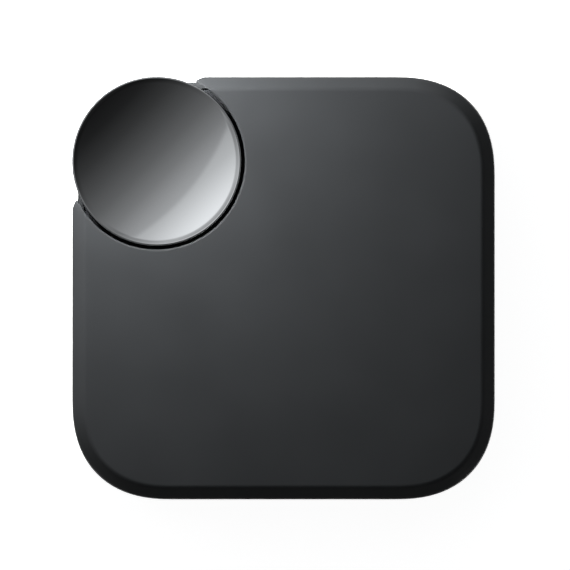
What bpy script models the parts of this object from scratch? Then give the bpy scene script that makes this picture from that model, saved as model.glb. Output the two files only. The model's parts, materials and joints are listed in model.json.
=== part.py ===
"""Charging case for two wireless earbuds, with a control dial standing in one corner.

The case lies on its flat base. +Z is up, the origin is the middle of the base's underside, the lid's
hinge runs along X at the -Y side, and the dial stands in the -X +Y corner. Lengths are in metres.
"""

import math

import bmesh
import bpy
from mathutils import Matrix, Vector

MM = 0.001

# Driving dimensions of the case
HALF = 30.0 * MM                 # half of the square plan
CORNER_R = 12.0 * MM             # plan radius of the dial's corner
CORNER_REACH = 14.2 * MM         # how far along each side the other three corners begin
CORNER_POWER = 2.4               # exponent of their superellipse
MOUTH = (6.5 * MM, 5.1 * MM, 0.65 * MM)  # base's dent beside the dial: start, deepest place, depth
HEIGHT = 23.0 * MM
EDGE = (1.72 * MM, 1.6 * MM)     # slope of the top and bottom edges: width in plan, height
EDGE_BENDS = (0.45 * MM, 0.38 * MM)  # reach of the soft bends at the face and at the side
SEAM_Z = 12.4 * MM               # height of the parting line between base and lid
SEAM_GAP = 0.2 * MM
BASE_WALL = 1.5 * MM
LID_WALL = 1.3 * MM
SKIN = 0.9 * MM                  # wall of the inner mouldings
FIT = 0.15 * MM                  # gap between an inner moulding and its shell
GAP = 0.3 * MM                   # gap between pieces that rest on each other

# Dial
DIAL_X, DIAL_Y = -(HALF - CORNER_R), HALF - CORNER_R
DIAL_R = CORNER_R
DIAL_FOOT_Z = 13.0 * MM
DIAL_SPLIT_Z = 20.9 * MM         # where the cap meets the knob
DISH_R = 11.8 * MM               # radius of the hollow in the cap
DISH_DEPTH = 1.3 * MM
NOTCH_GAP = 0.6 * MM             # between dial and lid at the top face
NOTCH_DRAFT = 0.7 * MM           # how much wider the notch is at the seam
STEM_R = 3.7 * MM
GUIDE_R_IN, GUIDE_R_OUT = 4.0 * MM, 5.2 * MM
GUIDE_TOP_Z = 16.5 * MM
FLANGE_Z = 17.3 * MM
AXLE_R = 1.8 * MM

# Hinge
HINGE_Y = -HALF + 1.6 * MM
HINGE_Z = SEAM_Z
BARREL_R = 1.6 * MM              # ridge on the base's back edge
SWING_R = 1.9 * MM               # what the lid clears around the axis
KNUCKLE_R = 1.45 * MM
PIN_R = 0.6 * MM
KNUCKLE_BORE_R = 0.72 * MM
BASE_KNUCKLES = (8.2 * MM, 13.0 * MM)
LID_KNUCKLES = (4.0 * MM, 7.9 * MM)
RIDGE_START, RIDGE_END = 13.3 * MM, 25.0 * MM
GROOVE_Z = HINGE_Z - 2.2 * MM    # floor of the groove that the lid's back edge swings into
LEAF_Y = (HINGE_Y + 0.2 * MM, HINGE_Y + 1.0 * MM)

# Earbud pockets, given for the left one; the right one is its mirror image in the case's diagonal
HEAD = (-14.5 * MM, -14.5 * MM, 12.9 * MM)
HEAD_AXES = (8.8 * MM, 8.2 * MM, 6.9 * MM)
TIP = (-16.5 * MM, -12.5 * MM)
TIP_R = 6.2 * MM
TIP_FLOOR_Z = 2.8 * MM
STEM_Y = -15.5 * MM
STEM_END_X = 8.5 * MM
TROUGH_R = 3.7 * MM
TROUGH_Z = 13.0 * MM
PIN_XS = (0.5 * MM, 3.5 * MM)    # charging pins along the stem

# Electronics
BOARD_Z = (2.6 * MM, 3.4 * MM)
BOARD_LO = (-27.6 * MM, -3.4 * MM)
BOARD_HI = (3.5 * MM, 27.6 * MM)
USB_Y, USB_Z = 2.0 * MM, 5.1 * MM
USB_W, USB_H = 8.9 * MM, 3.2 * MM
BOARD_SCREWS = ((0.8 * MM, 24.6 * MM), (0.8 * MM, -0.8 * MM), (-24.8 * MM, 10.4 * MM))
LEAF_SCREW_XS = (-9.5 * MM, 9.5 * MM)
LID_SCREW_XS = (-5.5 * MM, 5.5 * MM)
LIGHT = (-3.0 * MM, 3.0 * MM)
LATCH_XS = (1.0 * MM, 11.0 * MM)
BATTERY_LO = (-2.0 * MM, -22.5 * MM, 1.9 * MM)
BATTERY_HI = (26.0 * MM, -4.2 * MM, 6.5 * MM)

COLOURS = {                      # linear colour, roughness, metallic
    "shell_plastic": ((0.035, 0.037, 0.040), 0.50, 0.0),
    "liner_plastic": ((0.022, 0.023, 0.025), 0.45, 0.0),
    "dial_gloss": ((0.800, 0.805, 0.812), 0.08, 1.0),
    "dial_metal": ((0.100, 0.102, 0.106), 0.30, 1.0),
    "steel": ((0.550, 0.550, 0.560), 0.30, 1.0),
    "gold": ((0.900, 0.620, 0.250), 0.25, 1.0),
    "board": ((0.010, 0.060, 0.030), 0.50, 0.0),
    "chip": ((0.015, 0.015, 0.017), 0.45, 0.0),
    "battery_wrap": ((0.300, 0.310, 0.330), 0.40, 0.3),
    "magnet": ((0.450, 0.450, 0.470), 0.28, 1.0),
    "nylon": ((0.650, 0.640, 0.600), 0.50, 0.0),
    "flex": ((0.350, 0.130, 0.030), 0.40, 0.0),
    "lead_red": ((0.450, 0.020, 0.015), 0.45, 0.0),
    "lead_black": ((0.012, 0.012, 0.012), 0.45, 0.0),
    "light_pipe": ((0.800, 0.820, 0.850), 0.20, 0.0),
}


# ---------------------------------------------------------------- scene and objects


def clear_scene():
    for obj in list(bpy.data.objects):
        bpy.data.objects.remove(obj, do_unlink=True)


def material(name):
    found = bpy.data.materials.get(name)
    if found:
        return found
    colour, roughness, metallic = COLOURS[name]
    made = bpy.data.materials.new(name)
    made.use_nodes = True
    shader = made.node_tree.nodes["Principled BSDF"]
    shader.inputs["Base Color"].default_value = (*colour, 1.0)
    shader.inputs["Roughness"].default_value = roughness
    shader.inputs["Metallic"].default_value = metallic
    made.diffuse_color = (*colour, 1.0)
    return made


def axis_empty(name, location):
    """An empty that carries the pieces of one moving body, placed on its joint's axis."""
    empty = bpy.data.objects.new(name, None)
    empty.location = location
    bpy.context.scene.collection.objects.link(empty)
    return empty


def to_object(name, bm, surface=None, parent=None, smooth_angle=None):
    """Turns a bmesh in world coordinates into an object whose origin is its parent's."""
    bmesh.ops.recalc_face_normals(bm, faces=bm.faces)
    mesh = bpy.data.meshes.new(name)
    bm.to_mesh(mesh)
    bm.free()
    obj = bpy.data.objects.new(name, mesh)
    bpy.context.scene.collection.objects.link(obj)
    if parent:
        mesh.transform(Matrix.Translation(-parent.location))
        obj.parent = parent
    if surface:
        mesh.materials.append(material(surface))
    if smooth_angle:
        mesh.shade_smooth()
        mesh.set_sharp_from_angle(angle=math.radians(smooth_angle))
    return obj


def helper(name, bm):
    """An object that only cuts, or is joined to, another one."""
    obj = to_object(name, bm)
    obj.hide_render = True
    obj.display_type = "WIRE"
    return obj


def boolean(target, tool, operation="DIFFERENCE"):
    modifier = target.modifiers.new(f"{operation.lower()}_{tool.name}", "BOOLEAN")
    modifier.object = tool
    modifier.operation = operation
    modifier.solver = "EXACT"


# ---------------------------------------------------------------- shapes


def add_rings(bm, rings):
    """A closed skin over a stack of rings with the same number of points."""
    loops = [[bm.verts.new(p) for p in ring] for ring in rings]
    count = len(loops[0])
    for low, high in zip(loops, loops[1:]):
        for i in range(count):
            j = (i + 1) % count
            bm.faces.new((low[i], low[j], high[j], high[i]))
    bm.faces.new(loops[0][::-1])
    bm.faces.new(loops[-1])


def add_prism(bm, outline, low_z, high_z):
    add_rings(bm, [[(x, y, z) for x, y in outline] for z in (low_z, high_z)])


def add_box(bm, low, high):
    corners = [(low[0], low[1]), (high[0], low[1]), (high[0], high[1]), (low[0], high[1])]
    add_prism(bm, corners, low[2], high[2])


def add_turned(bm, profile, centre, along="Z", segments=32):
    """Turns (radius, height) points round an axis through centre. A profile with no point on the
    axis is a closed loop, and makes a ring."""
    turn = Matrix.Rotation(math.radians(90), 4, "Y") if along == "X" else Matrix()
    place = Matrix.Translation(Vector(centre)) @ turn
    rings = []
    for radius, height in profile:
        if radius < 1e-9:
            rings.append([bm.verts.new(place @ Vector((0, 0, height)))])
            continue
        angles = [2 * math.pi * i / segments for i in range(segments)]
        rings.append([
            bm.verts.new(place @ Vector((radius * math.cos(a), radius * math.sin(a), height)))
            for a in angles
        ])
    pairs = list(zip(rings, rings[1:]))
    if all(len(ring) > 1 for ring in rings):
        pairs.append((rings[-1], rings[0]))
    for low, high in pairs:
        for i in range(segments):
            j = (i + 1) % segments
            a, b = low[i % len(low)], low[j % len(low)]
            c, d = high[j % len(high)], high[i % len(high)]
            corners = list(dict.fromkeys((a, b, c, d)))
            if len(corners) > 2:
                bm.faces.new(corners)


def add_cylinder(bm, radius, low, high, centre, along="Z", segments=20):
    """A plain cylinder; low and high are measured along the axis from centre."""
    add_turned(bm, [(0, low), (radius, low), (radius, high), (0, high)], centre, along, segments)


def add_tube(bm, inner, outer, low, high, centre, along="Z", segments=24):
    profile = [(inner, low), (outer, low), (outer, high), (inner, high)]
    add_turned(bm, profile, centre, along, segments)


def add_ellipsoid(bm, centre, axes, turns=24, bands=12):
    profile = [
        (math.sin(math.pi * i / bands), -math.cos(math.pi * i / bands)) for i in range(bands + 1)
    ]
    profile[0], profile[-1] = (0, -1), (0, 1)
    before = set(bm.verts)
    add_turned(bm, profile, (0, 0, 0), "Z", turns)
    for vert in set(bm.verts) - before:
        vert.co = Vector(centre) + Vector(c * a for c, a in zip(vert.co, axes))


def arc(centre, radius, start, end, steps):
    """Points on an arc, with the angles in degrees."""
    for i in range(steps + 1):
        angle = math.radians(start + (end - start) * i / steps)
        yield centre[0] + radius * math.cos(angle), centre[1] + radius * math.sin(angle)


def soft_corner(sx, sy, inset, steps):
    """A superellipse corner, counter-clockwise, in the quadrant that the signs give."""
    reach, inner = CORNER_REACH - inset, HALF - CORNER_REACH
    points = []
    for i in range(steps + 1):
        angle = math.radians(90 * i / steps)
        u = math.cos(angle) ** (2 / CORNER_POWER) if i < steps else 0.0
        v = math.sin(angle) ** (2 / CORNER_POWER)
        points.append((sx * (inner + reach * u), sy * (inner + reach * v)))
    return points if sx * sy > 0 else points[::-1]


def dial_corner(inset, steps):
    """The corner under the dial: an arc round its axis, with a small dent at each end."""
    side = HALF - inset
    start, low, depth = MOUTH
    start_angle = math.degrees(math.acos(3.7 * MM / CORNER_R))
    middle = list(arc((DIAL_X, DIAL_Y), CORNER_R - inset, start_angle, 270 - start_angle, steps))
    first = [(DIAL_X + start, side), (DIAL_X + low, side - depth)]
    last = [(-y, -x) for x, y in first[::-1]]
    return [*first, *middle, *last]


def case_outline(inset, steps=11):
    return [
        *soft_corner(1, 1, inset, steps),
        *dial_corner(inset, steps + 1),
        *soft_corner(-1, -1, inset, steps),
        *soft_corner(1, -1, inset, steps),
    ]


def rounded_rectangle(low, high, radius, steps=4):
    outline = []
    corners = (
        (high[0] - radius, high[1] - radius, 0),
        (low[0] + radius, high[1] - radius, 90),
        (low[0] + radius, low[1] + radius, 180),
        (high[0] - radius, low[1] + radius, 270),
    )
    for x, y, start in corners:
        outline += arc((x, y), radius, start, start + 90, steps)
    return outline


def case_ring(inset, z):
    return [(x, y, z) for x, y in case_outline(inset)]


def bend(before, corner, after, reach, steps=3):
    """Points of a soft bend round a corner of a profile."""
    before, corner, after = Vector(before), Vector(corner), Vector(after)
    start = corner + (before - corner).normalized() * reach
    end = corner + (after - corner).normalized() * reach
    shares = [i / steps for i in range(steps + 1)]
    return [start * (1 - t) ** 2 + corner * 2 * t * (1 - t) + end * t ** 2 for t in shares]


def outer_edge_rings(z_face, direction):
    """The shell's edge, from the side to the face: direction +1 closes at the top, -1 at the bottom."""
    foot, brow, past = (0, EDGE[1]), (EDGE[0], 0), (2 * EDGE[0], 0)
    wall = (0, 2 * EDGE[1])
    profile = bend(wall, foot, brow, EDGE_BENDS[1]) + bend(foot, brow, past, EDGE_BENDS[0])
    return [case_ring(inset, z_face - direction * drop) for inset, drop in profile]


def edge_rings(inset, radius, z_edge, direction, steps=4):
    """Rings that round an inner edge: direction +1 closes towards the top, -1 towards the bottom."""
    rings = []
    for i in range(steps + 1):
        angle = math.radians(90 * i / steps)
        z = z_edge - direction * radius * (1 - math.sin(angle))
        rings.append(case_ring(inset + radius * (1 - math.cos(angle)), z))
    return rings


def mirrored(x, y):
    """A point of the left earbud's pocket, carried to the right one's place."""
    return -y, -x


def placed(side, x, y):
    return (x, y) if side == "left" else mirrored(x, y)


def add_box_for(bm, side, low, high):
    """A box stated for the left pocket, put where it belongs for either side."""
    xs, ys = zip(placed(side, *low[:2]), placed(side, *high[:2]))
    add_box(bm, (min(xs), min(ys), low[2]), (max(xs), max(ys), high[2]))


def helper_box(name, low, high):
    bm = bmesh.new()
    add_box(bm, low, high)
    return helper(name, bm)


def box_piece(name, low, high, surface, parent=None, bevel=0.0):
    bm = bmesh.new()
    add_box(bm, low, high)
    if bevel:
        bmesh.ops.bevel(bm, geom=list(bm.edges), offset=bevel, segments=2, affect="EDGES")
    return to_object(name, bm, surface, parent)


def turned_piece(name, profile, centre, surface, parent=None, along="Z", segments=24):
    bm = bmesh.new()
    add_turned(bm, profile, centre, along, segments)
    return to_object(name, bm, surface, parent, smooth_angle=35)


# ---------------------------------------------------------------- cutters shared by base and lid


def notch_outline(grow):
    """The corner notch in plan: the dial's circle, grown, and its two cut-back mouths."""
    radius = DIAL_R + grow
    mouth = math.degrees(math.acos(0.436))           # where the mouth's slant leaves the circle
    points = list(arc((0, 0), radius, mouth, -180 + (90 - mouth), 40))
    slant = [(1.15, 1.09), (2.6, 2.4)]               # ratio along the slant, out of the case
    first, last = points[0], points[-1]
    head = [(first[0] * a, first[1] * b) for a, b in slant[::-1]]
    tail = [(last[0] * b, last[1] * a) for a, b in slant]
    far = (-2.6 * radius, 2.6 * radius)
    return [(DIAL_X + x, DIAL_Y + y) for x, y in [*head, *points, *tail, far]]


def notch_helper(name, extra):
    """The notch as a cutter with draft: wider at the seam than at the top face."""
    bm = bmesh.new()
    top = notch_outline(NOTCH_GAP + extra)
    foot = notch_outline(NOTCH_GAP + extra + NOTCH_DRAFT)
    rings = [
        [(x, y, SEAM_Z - 1 * MM) for x, y in foot],
        [(x, y, SEAM_Z) for x, y in foot],
        [(x, y, HEIGHT) for x, y in top],
        [(x, y, HEIGHT + 1 * MM) for x, y in top],
    ]
    add_rings(bm, rings)
    return helper(name, bm)


def pocket_shapes(side, grow):
    """The hollow for one earbud, as separate overlapping solids, each grown by the same amount."""
    head = bmesh.new()
    x, y = placed(side, *HEAD[:2])
    axes = HEAD_AXES if side == "left" else (HEAD_AXES[1], HEAD_AXES[0], HEAD_AXES[2])
    add_ellipsoid(head, (x, y, HEAD[2]), [a + grow for a in axes])

    trough = bmesh.new()
    x0, y0 = placed(side, HEAD[0], STEM_Y)
    x1, y1 = placed(side, STEM_END_X - TROUGH_R, STEM_Y)
    radius = TROUGH_R + grow
    length = abs(x1 - x0) + abs(y1 - y0)
    profile = [(0, 0), (radius, 0), (radius, length)]
    profile += [(radius * math.cos(math.radians(a)), length + radius * math.sin(math.radians(a)))
                for a in (22.5, 45, 67.5)]
    profile.append((0, length + radius))
    add_turned(trough, profile, (0, 0, 0), "Z", 20)
    aim = Vector((x1 - x0, y1 - y0, 0)).to_track_quat("Z", "Y").to_matrix().to_4x4()
    bmesh.ops.transform(trough, matrix=aim, verts=trough.verts)
    bmesh.ops.translate(trough, vec=(x0, y0, TROUGH_Z), verts=trough.verts)
    return {"head": head, "stem": trough}


def tip_well(side, grow, top_z):
    """The deep part of a pocket, which takes the ear tip."""
    x, y = placed(side, *TIP)
    radius, bend = TIP_R + grow, 3.4 * MM
    floor = TIP_FLOOR_Z - grow
    profile = [(0, floor), (radius - bend, floor)]
    profile += [(radius - bend + bend * math.sin(math.radians(a)),
                 floor + bend * (1 - math.cos(math.radians(a)))) for a in (30, 60, 90)]
    profile += [(radius, top_z), (0, top_z)]
    bm = bmesh.new()
    add_turned(bm, profile, (x, y, 0), "Z", 24)
    return bm


def hinge_clearance(name, radius, half_length=26.0 * MM):
    bm = bmesh.new()
    add_cylinder(bm, radius, -half_length, half_length, (0, HINGE_Y, HINGE_Z), "X", 32)
    return helper(name, bm)


# ---------------------------------------------------------------- base


def base_shell():
    bm = bmesh.new()
    rings = outer_edge_rings(0, -1)[::-1]
    add_rings(bm, [*rings, case_ring(0, SEAM_Z - SEAM_GAP / 2)])
    shell = to_object("base_shell", bm, "shell_plastic", smooth_angle=35)

    cavity = bmesh.new()
    rings = edge_rings(BASE_WALL, 1.0 * MM, BASE_WALL, -1, 2)[::-1]
    add_rings(cavity, [*rings, case_ring(BASE_WALL, SEAM_Z + 1 * MM)])
    boolean(shell, helper("base_cavity", cavity))

    groove_low = (-RIDGE_END, -HALF - 1 * MM, GROOVE_Z)
    groove_high = (RIDGE_END, HINGE_Y + BARREL_R + GAP, SEAM_Z + 1 * MM)
    boolean(shell, helper_box("hinge_groove", groove_low, groove_high))
    for sign in (-1, 1):
        boolean(shell, hinge_ridge(sign), "UNION")
    boolean(shell, base_bosses(), "UNION")
    boolean(shell, base_holes())
    return shell


def hinge_ridge(sign):
    """The half-round ridge beside the hinge knuckles, trimmed to the case's outline."""
    name = "ridge_left" if sign < 0 else "ridge_right"
    start, end = sorted((sign * RIDGE_START, sign * (RIDGE_END + GAP)))
    bm = bmesh.new()
    add_cylinder(bm, BARREL_R, start, end, (0, HINGE_Y, HINGE_Z), "X", 32)
    ridge = helper(name, bm)
    web_low = (start, HINGE_Y - 0.3 * MM, GROOVE_Z - 0.6 * MM)
    web_high = (end, HINGE_Y + 1.4 * MM, HINGE_Z)
    boolean(ridge, helper_box(name + "_web", web_low, web_high), "UNION")
    trim = bmesh.new()
    add_rings(trim, [case_ring(0.05 * MM, 5 * MM), case_ring(0.05 * MM, HEIGHT)])
    boolean(ridge, helper(name + "_trim", trim), "INTERSECT")
    return ridge


def base_bosses():
    bm = bmesh.new()
    low = BASE_WALL - 0.3 * MM
    for x, y in BOARD_SCREWS:
        add_cylinder(bm, 1.7 * MM, low, BOARD_Z[0] - 0.1 * MM, (x, y, 0))
    for x in LEAF_SCREW_XS:
        add_cylinder(bm, 1.7 * MM, low, 3.7 * MM, (x, HINGE_Y + 3.0 * MM, 0))
    return helper("base_bosses", bm)


def base_holes():
    """The boss holes, and the opening for the charging plug."""
    bm = bmesh.new()
    for x, y in BOARD_SCREWS:
        add_cylinder(bm, 0.8 * MM, 0.9 * MM, 4 * MM, (x, y, 0), segments=16)
    for x in LEAF_SCREW_XS:
        add_cylinder(bm, 0.8 * MM, 0.9 * MM, 4 * MM, (x, HINGE_Y + 3.0 * MM, 0), segments=16)
    half_w, half_h = USB_W / 2 + 0.4 * MM, USB_H / 2 + 0.4 * MM
    outline = rounded_rectangle((-half_w, -half_h), (half_w, half_h), half_h * 0.98, 6)
    rings = [[(x, USB_Y + u, USB_Z + v) for u, v in outline] for x in (-HALF - 1 * MM, -26 * MM)]
    add_rings(bm, rings)
    return helper("base_holes", bm)


def base_cradle():
    """The moulding that closes the base and holds the earbuds, with the dial's guide tube."""
    top, bottom = SEAM_Z - SEAM_GAP / 2 - 0.1 * MM, SEAM_Z - 1.3 * MM
    inset = BASE_WALL + FIT
    bm = bmesh.new()
    add_rings(bm, [case_ring(inset, bottom), case_ring(inset, top)])
    cradle = to_object("base_cradle", bm, "liner_plastic", smooth_angle=35)
    above = helper_box("above_cradle", (-HALF, -HALF, top), (HALF, HALF, HEIGHT))
    for side in ("left", "right"):
        walls = pocket_shapes(side, SKIN)
        walls["well"] = tip_well(side, SKIN, top)
        for part, shape in walls.items():
            wall = helper(f"{side}_{part}_wall", shape)
            if part != "well":
                boolean(wall, above)
            boolean(cradle, wall, "UNION")
    tube = bmesh.new()
    add_cylinder(tube, GUIDE_R_OUT, 8.4 * MM, GUIDE_TOP_Z, (DIAL_X, DIAL_Y, 0), segments=24)
    boolean(cradle, helper("guide_tube", tube), "UNION")
    for side in ("left", "right"):
        hollows = pocket_shapes(side, 0)
        hollows["well"] = tip_well(side, 0, SEAM_Z + 1 * MM)
        for part, shape in hollows.items():
            boolean(cradle, helper(f"{side}_{part}_hollow", shape))
    boolean(cradle, cradle_holes())
    slot = (-RIDGE_END, -HALF, bottom - 1 * MM), (RIDGE_END, HINGE_Y + 1.7 * MM, SEAM_Z + 1 * MM)
    boolean(cradle, helper_box("hinge_slot", *slot))
    return cradle


def cradle_holes():
    """The guide tube's bore and keyway, and the holes for the charging pins and the status light."""
    bm = bmesh.new()
    add_cylinder(bm, GUIDE_R_IN, 8 * MM, 18 * MM, (DIAL_X, DIAL_Y, 0), segments=24)
    add_cylinder(bm, 1.3 * MM, 8 * MM, 14 * MM, (*LIGHT, 0), segments=16)
    for side in ("left", "right"):
        for x in PIN_XS:
            add_cylinder(bm, 0.95 * MM, 8 * MM, 10 * MM, (*placed(side, x, STEM_Y), 0), segments=16)
    holes = helper("cradle_holes", bm)
    keyway = (DIAL_X - 0.9 * MM, DIAL_Y, 8 * MM), (DIAL_X + 0.9 * MM, DIAL_Y + 4.9 * MM, 18 * MM)
    boolean(holes, helper_box("keyway", *keyway), "UNION")
    return holes


# ---------------------------------------------------------------- lid


def lid_shell(parent):
    bm = bmesh.new()
    add_rings(bm, [case_ring(0, SEAM_Z + SEAM_GAP / 2), *outer_edge_rings(HEIGHT, 1)])
    shell = to_object("lid_shell", bm, "shell_plastic", parent, smooth_angle=35)
    boolean(shell, notch_helper("lid_notch", 0))
    cavity = bmesh.new()
    ceiling = HEIGHT - LID_WALL
    rings = edge_rings(LID_WALL, 1.0 * MM, ceiling, 1, 2)
    add_rings(cavity, [case_ring(LID_WALL, SEAM_Z - 1 * MM), *rings])
    hollow = helper("lid_cavity", cavity)
    boolean(hollow, notch_helper("notch_wall", LID_WALL))
    boolean(shell, hollow)
    boolean(shell, hinge_clearance("lid_swing", SWING_R))
    bosses = bmesh.new()
    for x in LID_SCREW_XS:
        add_cylinder(bosses, 1.7 * MM, 19.1 * MM, ceiling + 0.4 * MM, (x, HINGE_Y + 3.0 * MM, 0))
    boolean(shell, helper("lid_bosses", bosses), "UNION")
    holes = bmesh.new()
    for x in LID_SCREW_XS:
        centre = (x, HINGE_Y + 3.0 * MM, 0)
        add_cylinder(holes, 0.8 * MM, 18.5 * MM, ceiling + 0.3 * MM, centre, segments=16)
    boolean(shell, helper("lid_boss_holes", holes))
    return shell


def lid_liner(parent):
    """The inner moulding of the lid, hollowed over the tops of the earbuds."""
    bottom = SEAM_Z + SEAM_GAP / 2 + 0.1 * MM
    top = bottom + SKIN
    bm = bmesh.new()
    inset = LID_WALL + FIT
    add_rings(bm, [case_ring(inset, bottom), case_ring(inset, top)])
    liner = to_object("lid_liner", bm, "liner_plastic", parent, smooth_angle=35)
    below = helper_box("below_liner", (-HALF, -HALF, 0), (HALF, HALF, bottom))
    for side in ("left", "right"):
        for part, shape in pocket_shapes(side, SKIN).items():
            wall = helper(f"{side}_{part}_roof", shape)
            boolean(wall, below)
            boolean(liner, wall, "UNION")
    for side in ("left", "right"):
        for part, shape in pocket_shapes(side, 0).items():
            boolean(liner, helper(f"{side}_{part}_recess", shape))
    boolean(liner, notch_helper("liner_notch", LID_WALL + FIT))
    boolean(liner, hinge_clearance("liner_swing", SWING_R + GAP))
    slot = (-8.4 * MM, -HALF, bottom - 1 * MM), (8.4 * MM, LEAF_Y[1] + GAP + 0.9 * MM, top + 1 * MM)
    boolean(liner, helper_box("leaf_slot", *slot))
    return liner


def magnets(base_parent, lid_parent):
    """The latch pairs at the front, the lid sensor's magnet, and one that holds each earbud."""
    for number, x in enumerate(LATCH_XS, 1):
        ends = [(x - 4 * MM, 25.7 * MM), (x + 4 * MM, 27.9 * MM)]
        low, high = ends
        box_piece(f"base_latch_magnet_{number}", (*low, 6.6 * MM), (*high, 10.7 * MM), "magnet",
                  base_parent, 0.2 * MM)
        box_piece(f"lid_latch_magnet_{number}", (*low, 13.8 * MM), (*high, 17.4 * MM), "magnet",
                  lid_parent, 0.2 * MM)
    profile = [(0, 13.8 * MM), (1.5 * MM, 13.8 * MM), (1.5 * MM, 15.3 * MM), (0, 15.3 * MM)]
    turned_piece("lid_sensor_magnet", profile, (-21 * MM, -1 * MM, 0), "magnet", lid_parent)
    for side in ("left", "right"):
        bm = bmesh.new()
        low, high = (-5.5 * MM, -18 * MM, 2.2 * MM), (-2.9 * MM, -13 * MM, 6.2 * MM)
        add_box_for(bm, side, low, high)
        bmesh.ops.bevel(bm, geom=list(bm.edges), offset=0.2 * MM, segments=1, affect="EDGES")
        to_object(f"{side}_bud_magnet", bm, "magnet", base_parent)


# ---------------------------------------------------------------- hinge


def hinge_leaf(name, knuckles, strip_z, tab_z, foot_z, screw_xs, parent):
    """A sheet-metal leaf: a strip, two knuckles on tabs, and two feet that are screwed down."""
    half = knuckles[1]
    bm = bmesh.new()
    add_box(bm, (-half, LEAF_Y[0], strip_z[0]), (half, LEAF_Y[1], strip_z[1]))
    leaf = to_object(name, bm, "steel", parent, smooth_angle=35)
    for sign in (-1, 1):
        tag = "a" if sign < 0 else "b"
        start, end = sorted((sign * knuckles[0], sign * knuckles[1]))
        tab = helper_box(f"{name}_tab_{tag}", (start, LEAF_Y[0], tab_z[0]), (end, LEAF_Y[1], tab_z[1]))
        boolean(leaf, tab, "UNION")
        barrel = bmesh.new()
        add_cylinder(barrel, KNUCKLE_R, start, end, (0, HINGE_Y, HINGE_Z), "X", 24)
        boolean(leaf, helper(f"{name}_barrel_{tag}", barrel), "UNION")
    for number, x in enumerate(screw_xs):
        low = (x - 2.0 * MM, LEAF_Y[0], foot_z[0])
        high = (x + 2.0 * MM, HINGE_Y + 4.6 * MM, foot_z[1])
        boolean(leaf, helper_box(f"{name}_foot_{number}", low, high), "UNION")
    holes = bmesh.new()
    add_cylinder(holes, KNUCKLE_BORE_R, -15 * MM, 15 * MM, (0, HINGE_Y, HINGE_Z), "X", 24)
    for x in screw_xs:
        low, high = foot_z[0] - 1 * MM, foot_z[1] + 1 * MM
        add_cylinder(holes, 0.9 * MM, low, high, (x, HINGE_Y + 3.0 * MM, 0), segments=16)
    boolean(leaf, helper(f"{name}_holes", holes))
    return leaf


def hinge(base_parent, lid_parent):
    strip, tabs = (3.8 * MM, GROOVE_Z), (GROOVE_Z - 1 * MM, HINGE_Z)
    foot = (3.8 * MM, 4.6 * MM)
    hinge_leaf("hinge_base_leaf", BASE_KNUCKLES, strip, tabs, foot, LEAF_SCREW_XS, base_parent)
    strip, tabs = (HINGE_Z + 2.0 * MM, 19.0 * MM), (HINGE_Z, HINGE_Z + 3.0 * MM)
    foot = (18.2 * MM, 19.0 * MM)
    hinge_leaf("hinge_lid_leaf", LID_KNUCKLES, strip, tabs, foot, LID_SCREW_XS, lid_parent)
    half = BASE_KNUCKLES[1] - 0.2 * MM
    profile = [(0, -half), (PIN_R, -half), (PIN_R, half), (0, half)]
    turned_piece("hinge_pin", profile, (0, HINGE_Y, HINGE_Z), "steel", base_parent, "X", 20)
    hinge_spring(base_parent)


def hinge_spring(parent):
    """A torsion spring wound round the pin, between the lid's knuckles."""
    mean, wire, half = 1.1 * MM, 0.22 * MM, 3.3 * MM
    turns, per_turn = 7, 10
    points = []
    for i in range(turns * per_turn + 1):
        angle = 2 * math.pi * i / per_turn
        x = -half + 2 * half * i / (turns * per_turn)
        points.append((x, HINGE_Y + mean * math.cos(angle), HINGE_Z + mean * math.sin(angle)))
    tube_piece("hinge_spring", points, wire, "steel", parent, 1)


def tube_piece(name, points, radius, surface, parent=None, resolution=2):
    """A round wire through the points, with closed ends."""
    curve = bpy.data.curves.new(name, "CURVE")
    curve.dimensions = "3D"
    curve.bevel_depth = radius
    curve.bevel_resolution = resolution
    curve.use_fill_caps = True
    spline = curve.splines.new("POLY")
    spline.points.add(len(points) - 1)
    origin = parent.location if parent else Vector((0, 0, 0))
    for point, place in zip(spline.points, points):
        point.co = (*(Vector(place) - origin), 1)
    obj = bpy.data.objects.new(name, curve)
    bpy.context.scene.collection.objects.link(obj)
    curve.materials.append(material(surface))
    if parent:
        obj.parent = parent
    return obj


def screw(name, x, y, seat_z, up, length, parent):
    """A small pan-head screw with a cross recess; up is the way its head faces."""
    head_r, head_h, shank_r = 1.25 * MM, 0.75 * MM, 0.62 * MM
    profile = [(0, -length), (shank_r * 0.6, -length), (shank_r, -length + 0.4 * MM),
               (shank_r, 0), (head_r, 0), (head_r, head_h * 0.55), (head_r * 0.75, head_h),
               (0, head_h)]
    bm = bmesh.new()
    add_turned(bm, [(r, up * z) for r, z in profile], (x, y, seat_z), "Z", 12)
    made = to_object(name, bm, "steel", parent, smooth_angle=35)
    low, high = sorted((up * head_h * 0.45, up * (head_h + 0.3 * MM)))
    arm, half = 0.75 * MM, 0.16 * MM
    bottom, top = seat_z + low, seat_z + high
    cross = helper_box(f"{name}_slot_x", (x - arm, y - half, bottom), (x + arm, y + half, top))
    other = helper_box(f"{name}_slot_y", (x - half, y - arm, bottom), (x + half, y + arm, top))
    boolean(cross, other, "UNION")
    boolean(made, cross)
    return made


def screws(base_parent, lid_parent):
    y = HINGE_Y + 3.0 * MM
    for number, x in enumerate(LEAF_SCREW_XS, 1):
        screw(f"base_leaf_screw_{number}", x, y, 4.7 * MM, 1, 3.2 * MM, base_parent)
    for number, x in enumerate(LID_SCREW_XS, 1):
        screw(f"lid_leaf_screw_{number}", x, y, 18.1 * MM, -1, 3.0 * MM, lid_parent)
    for number, (x, y) in enumerate(BOARD_SCREWS, 1):
        screw(f"board_screw_{number}", x, y, BOARD_Z[1] + 0.1 * MM, 1, 2.2 * MM, base_parent)


# ---------------------------------------------------------------- electronics


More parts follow.
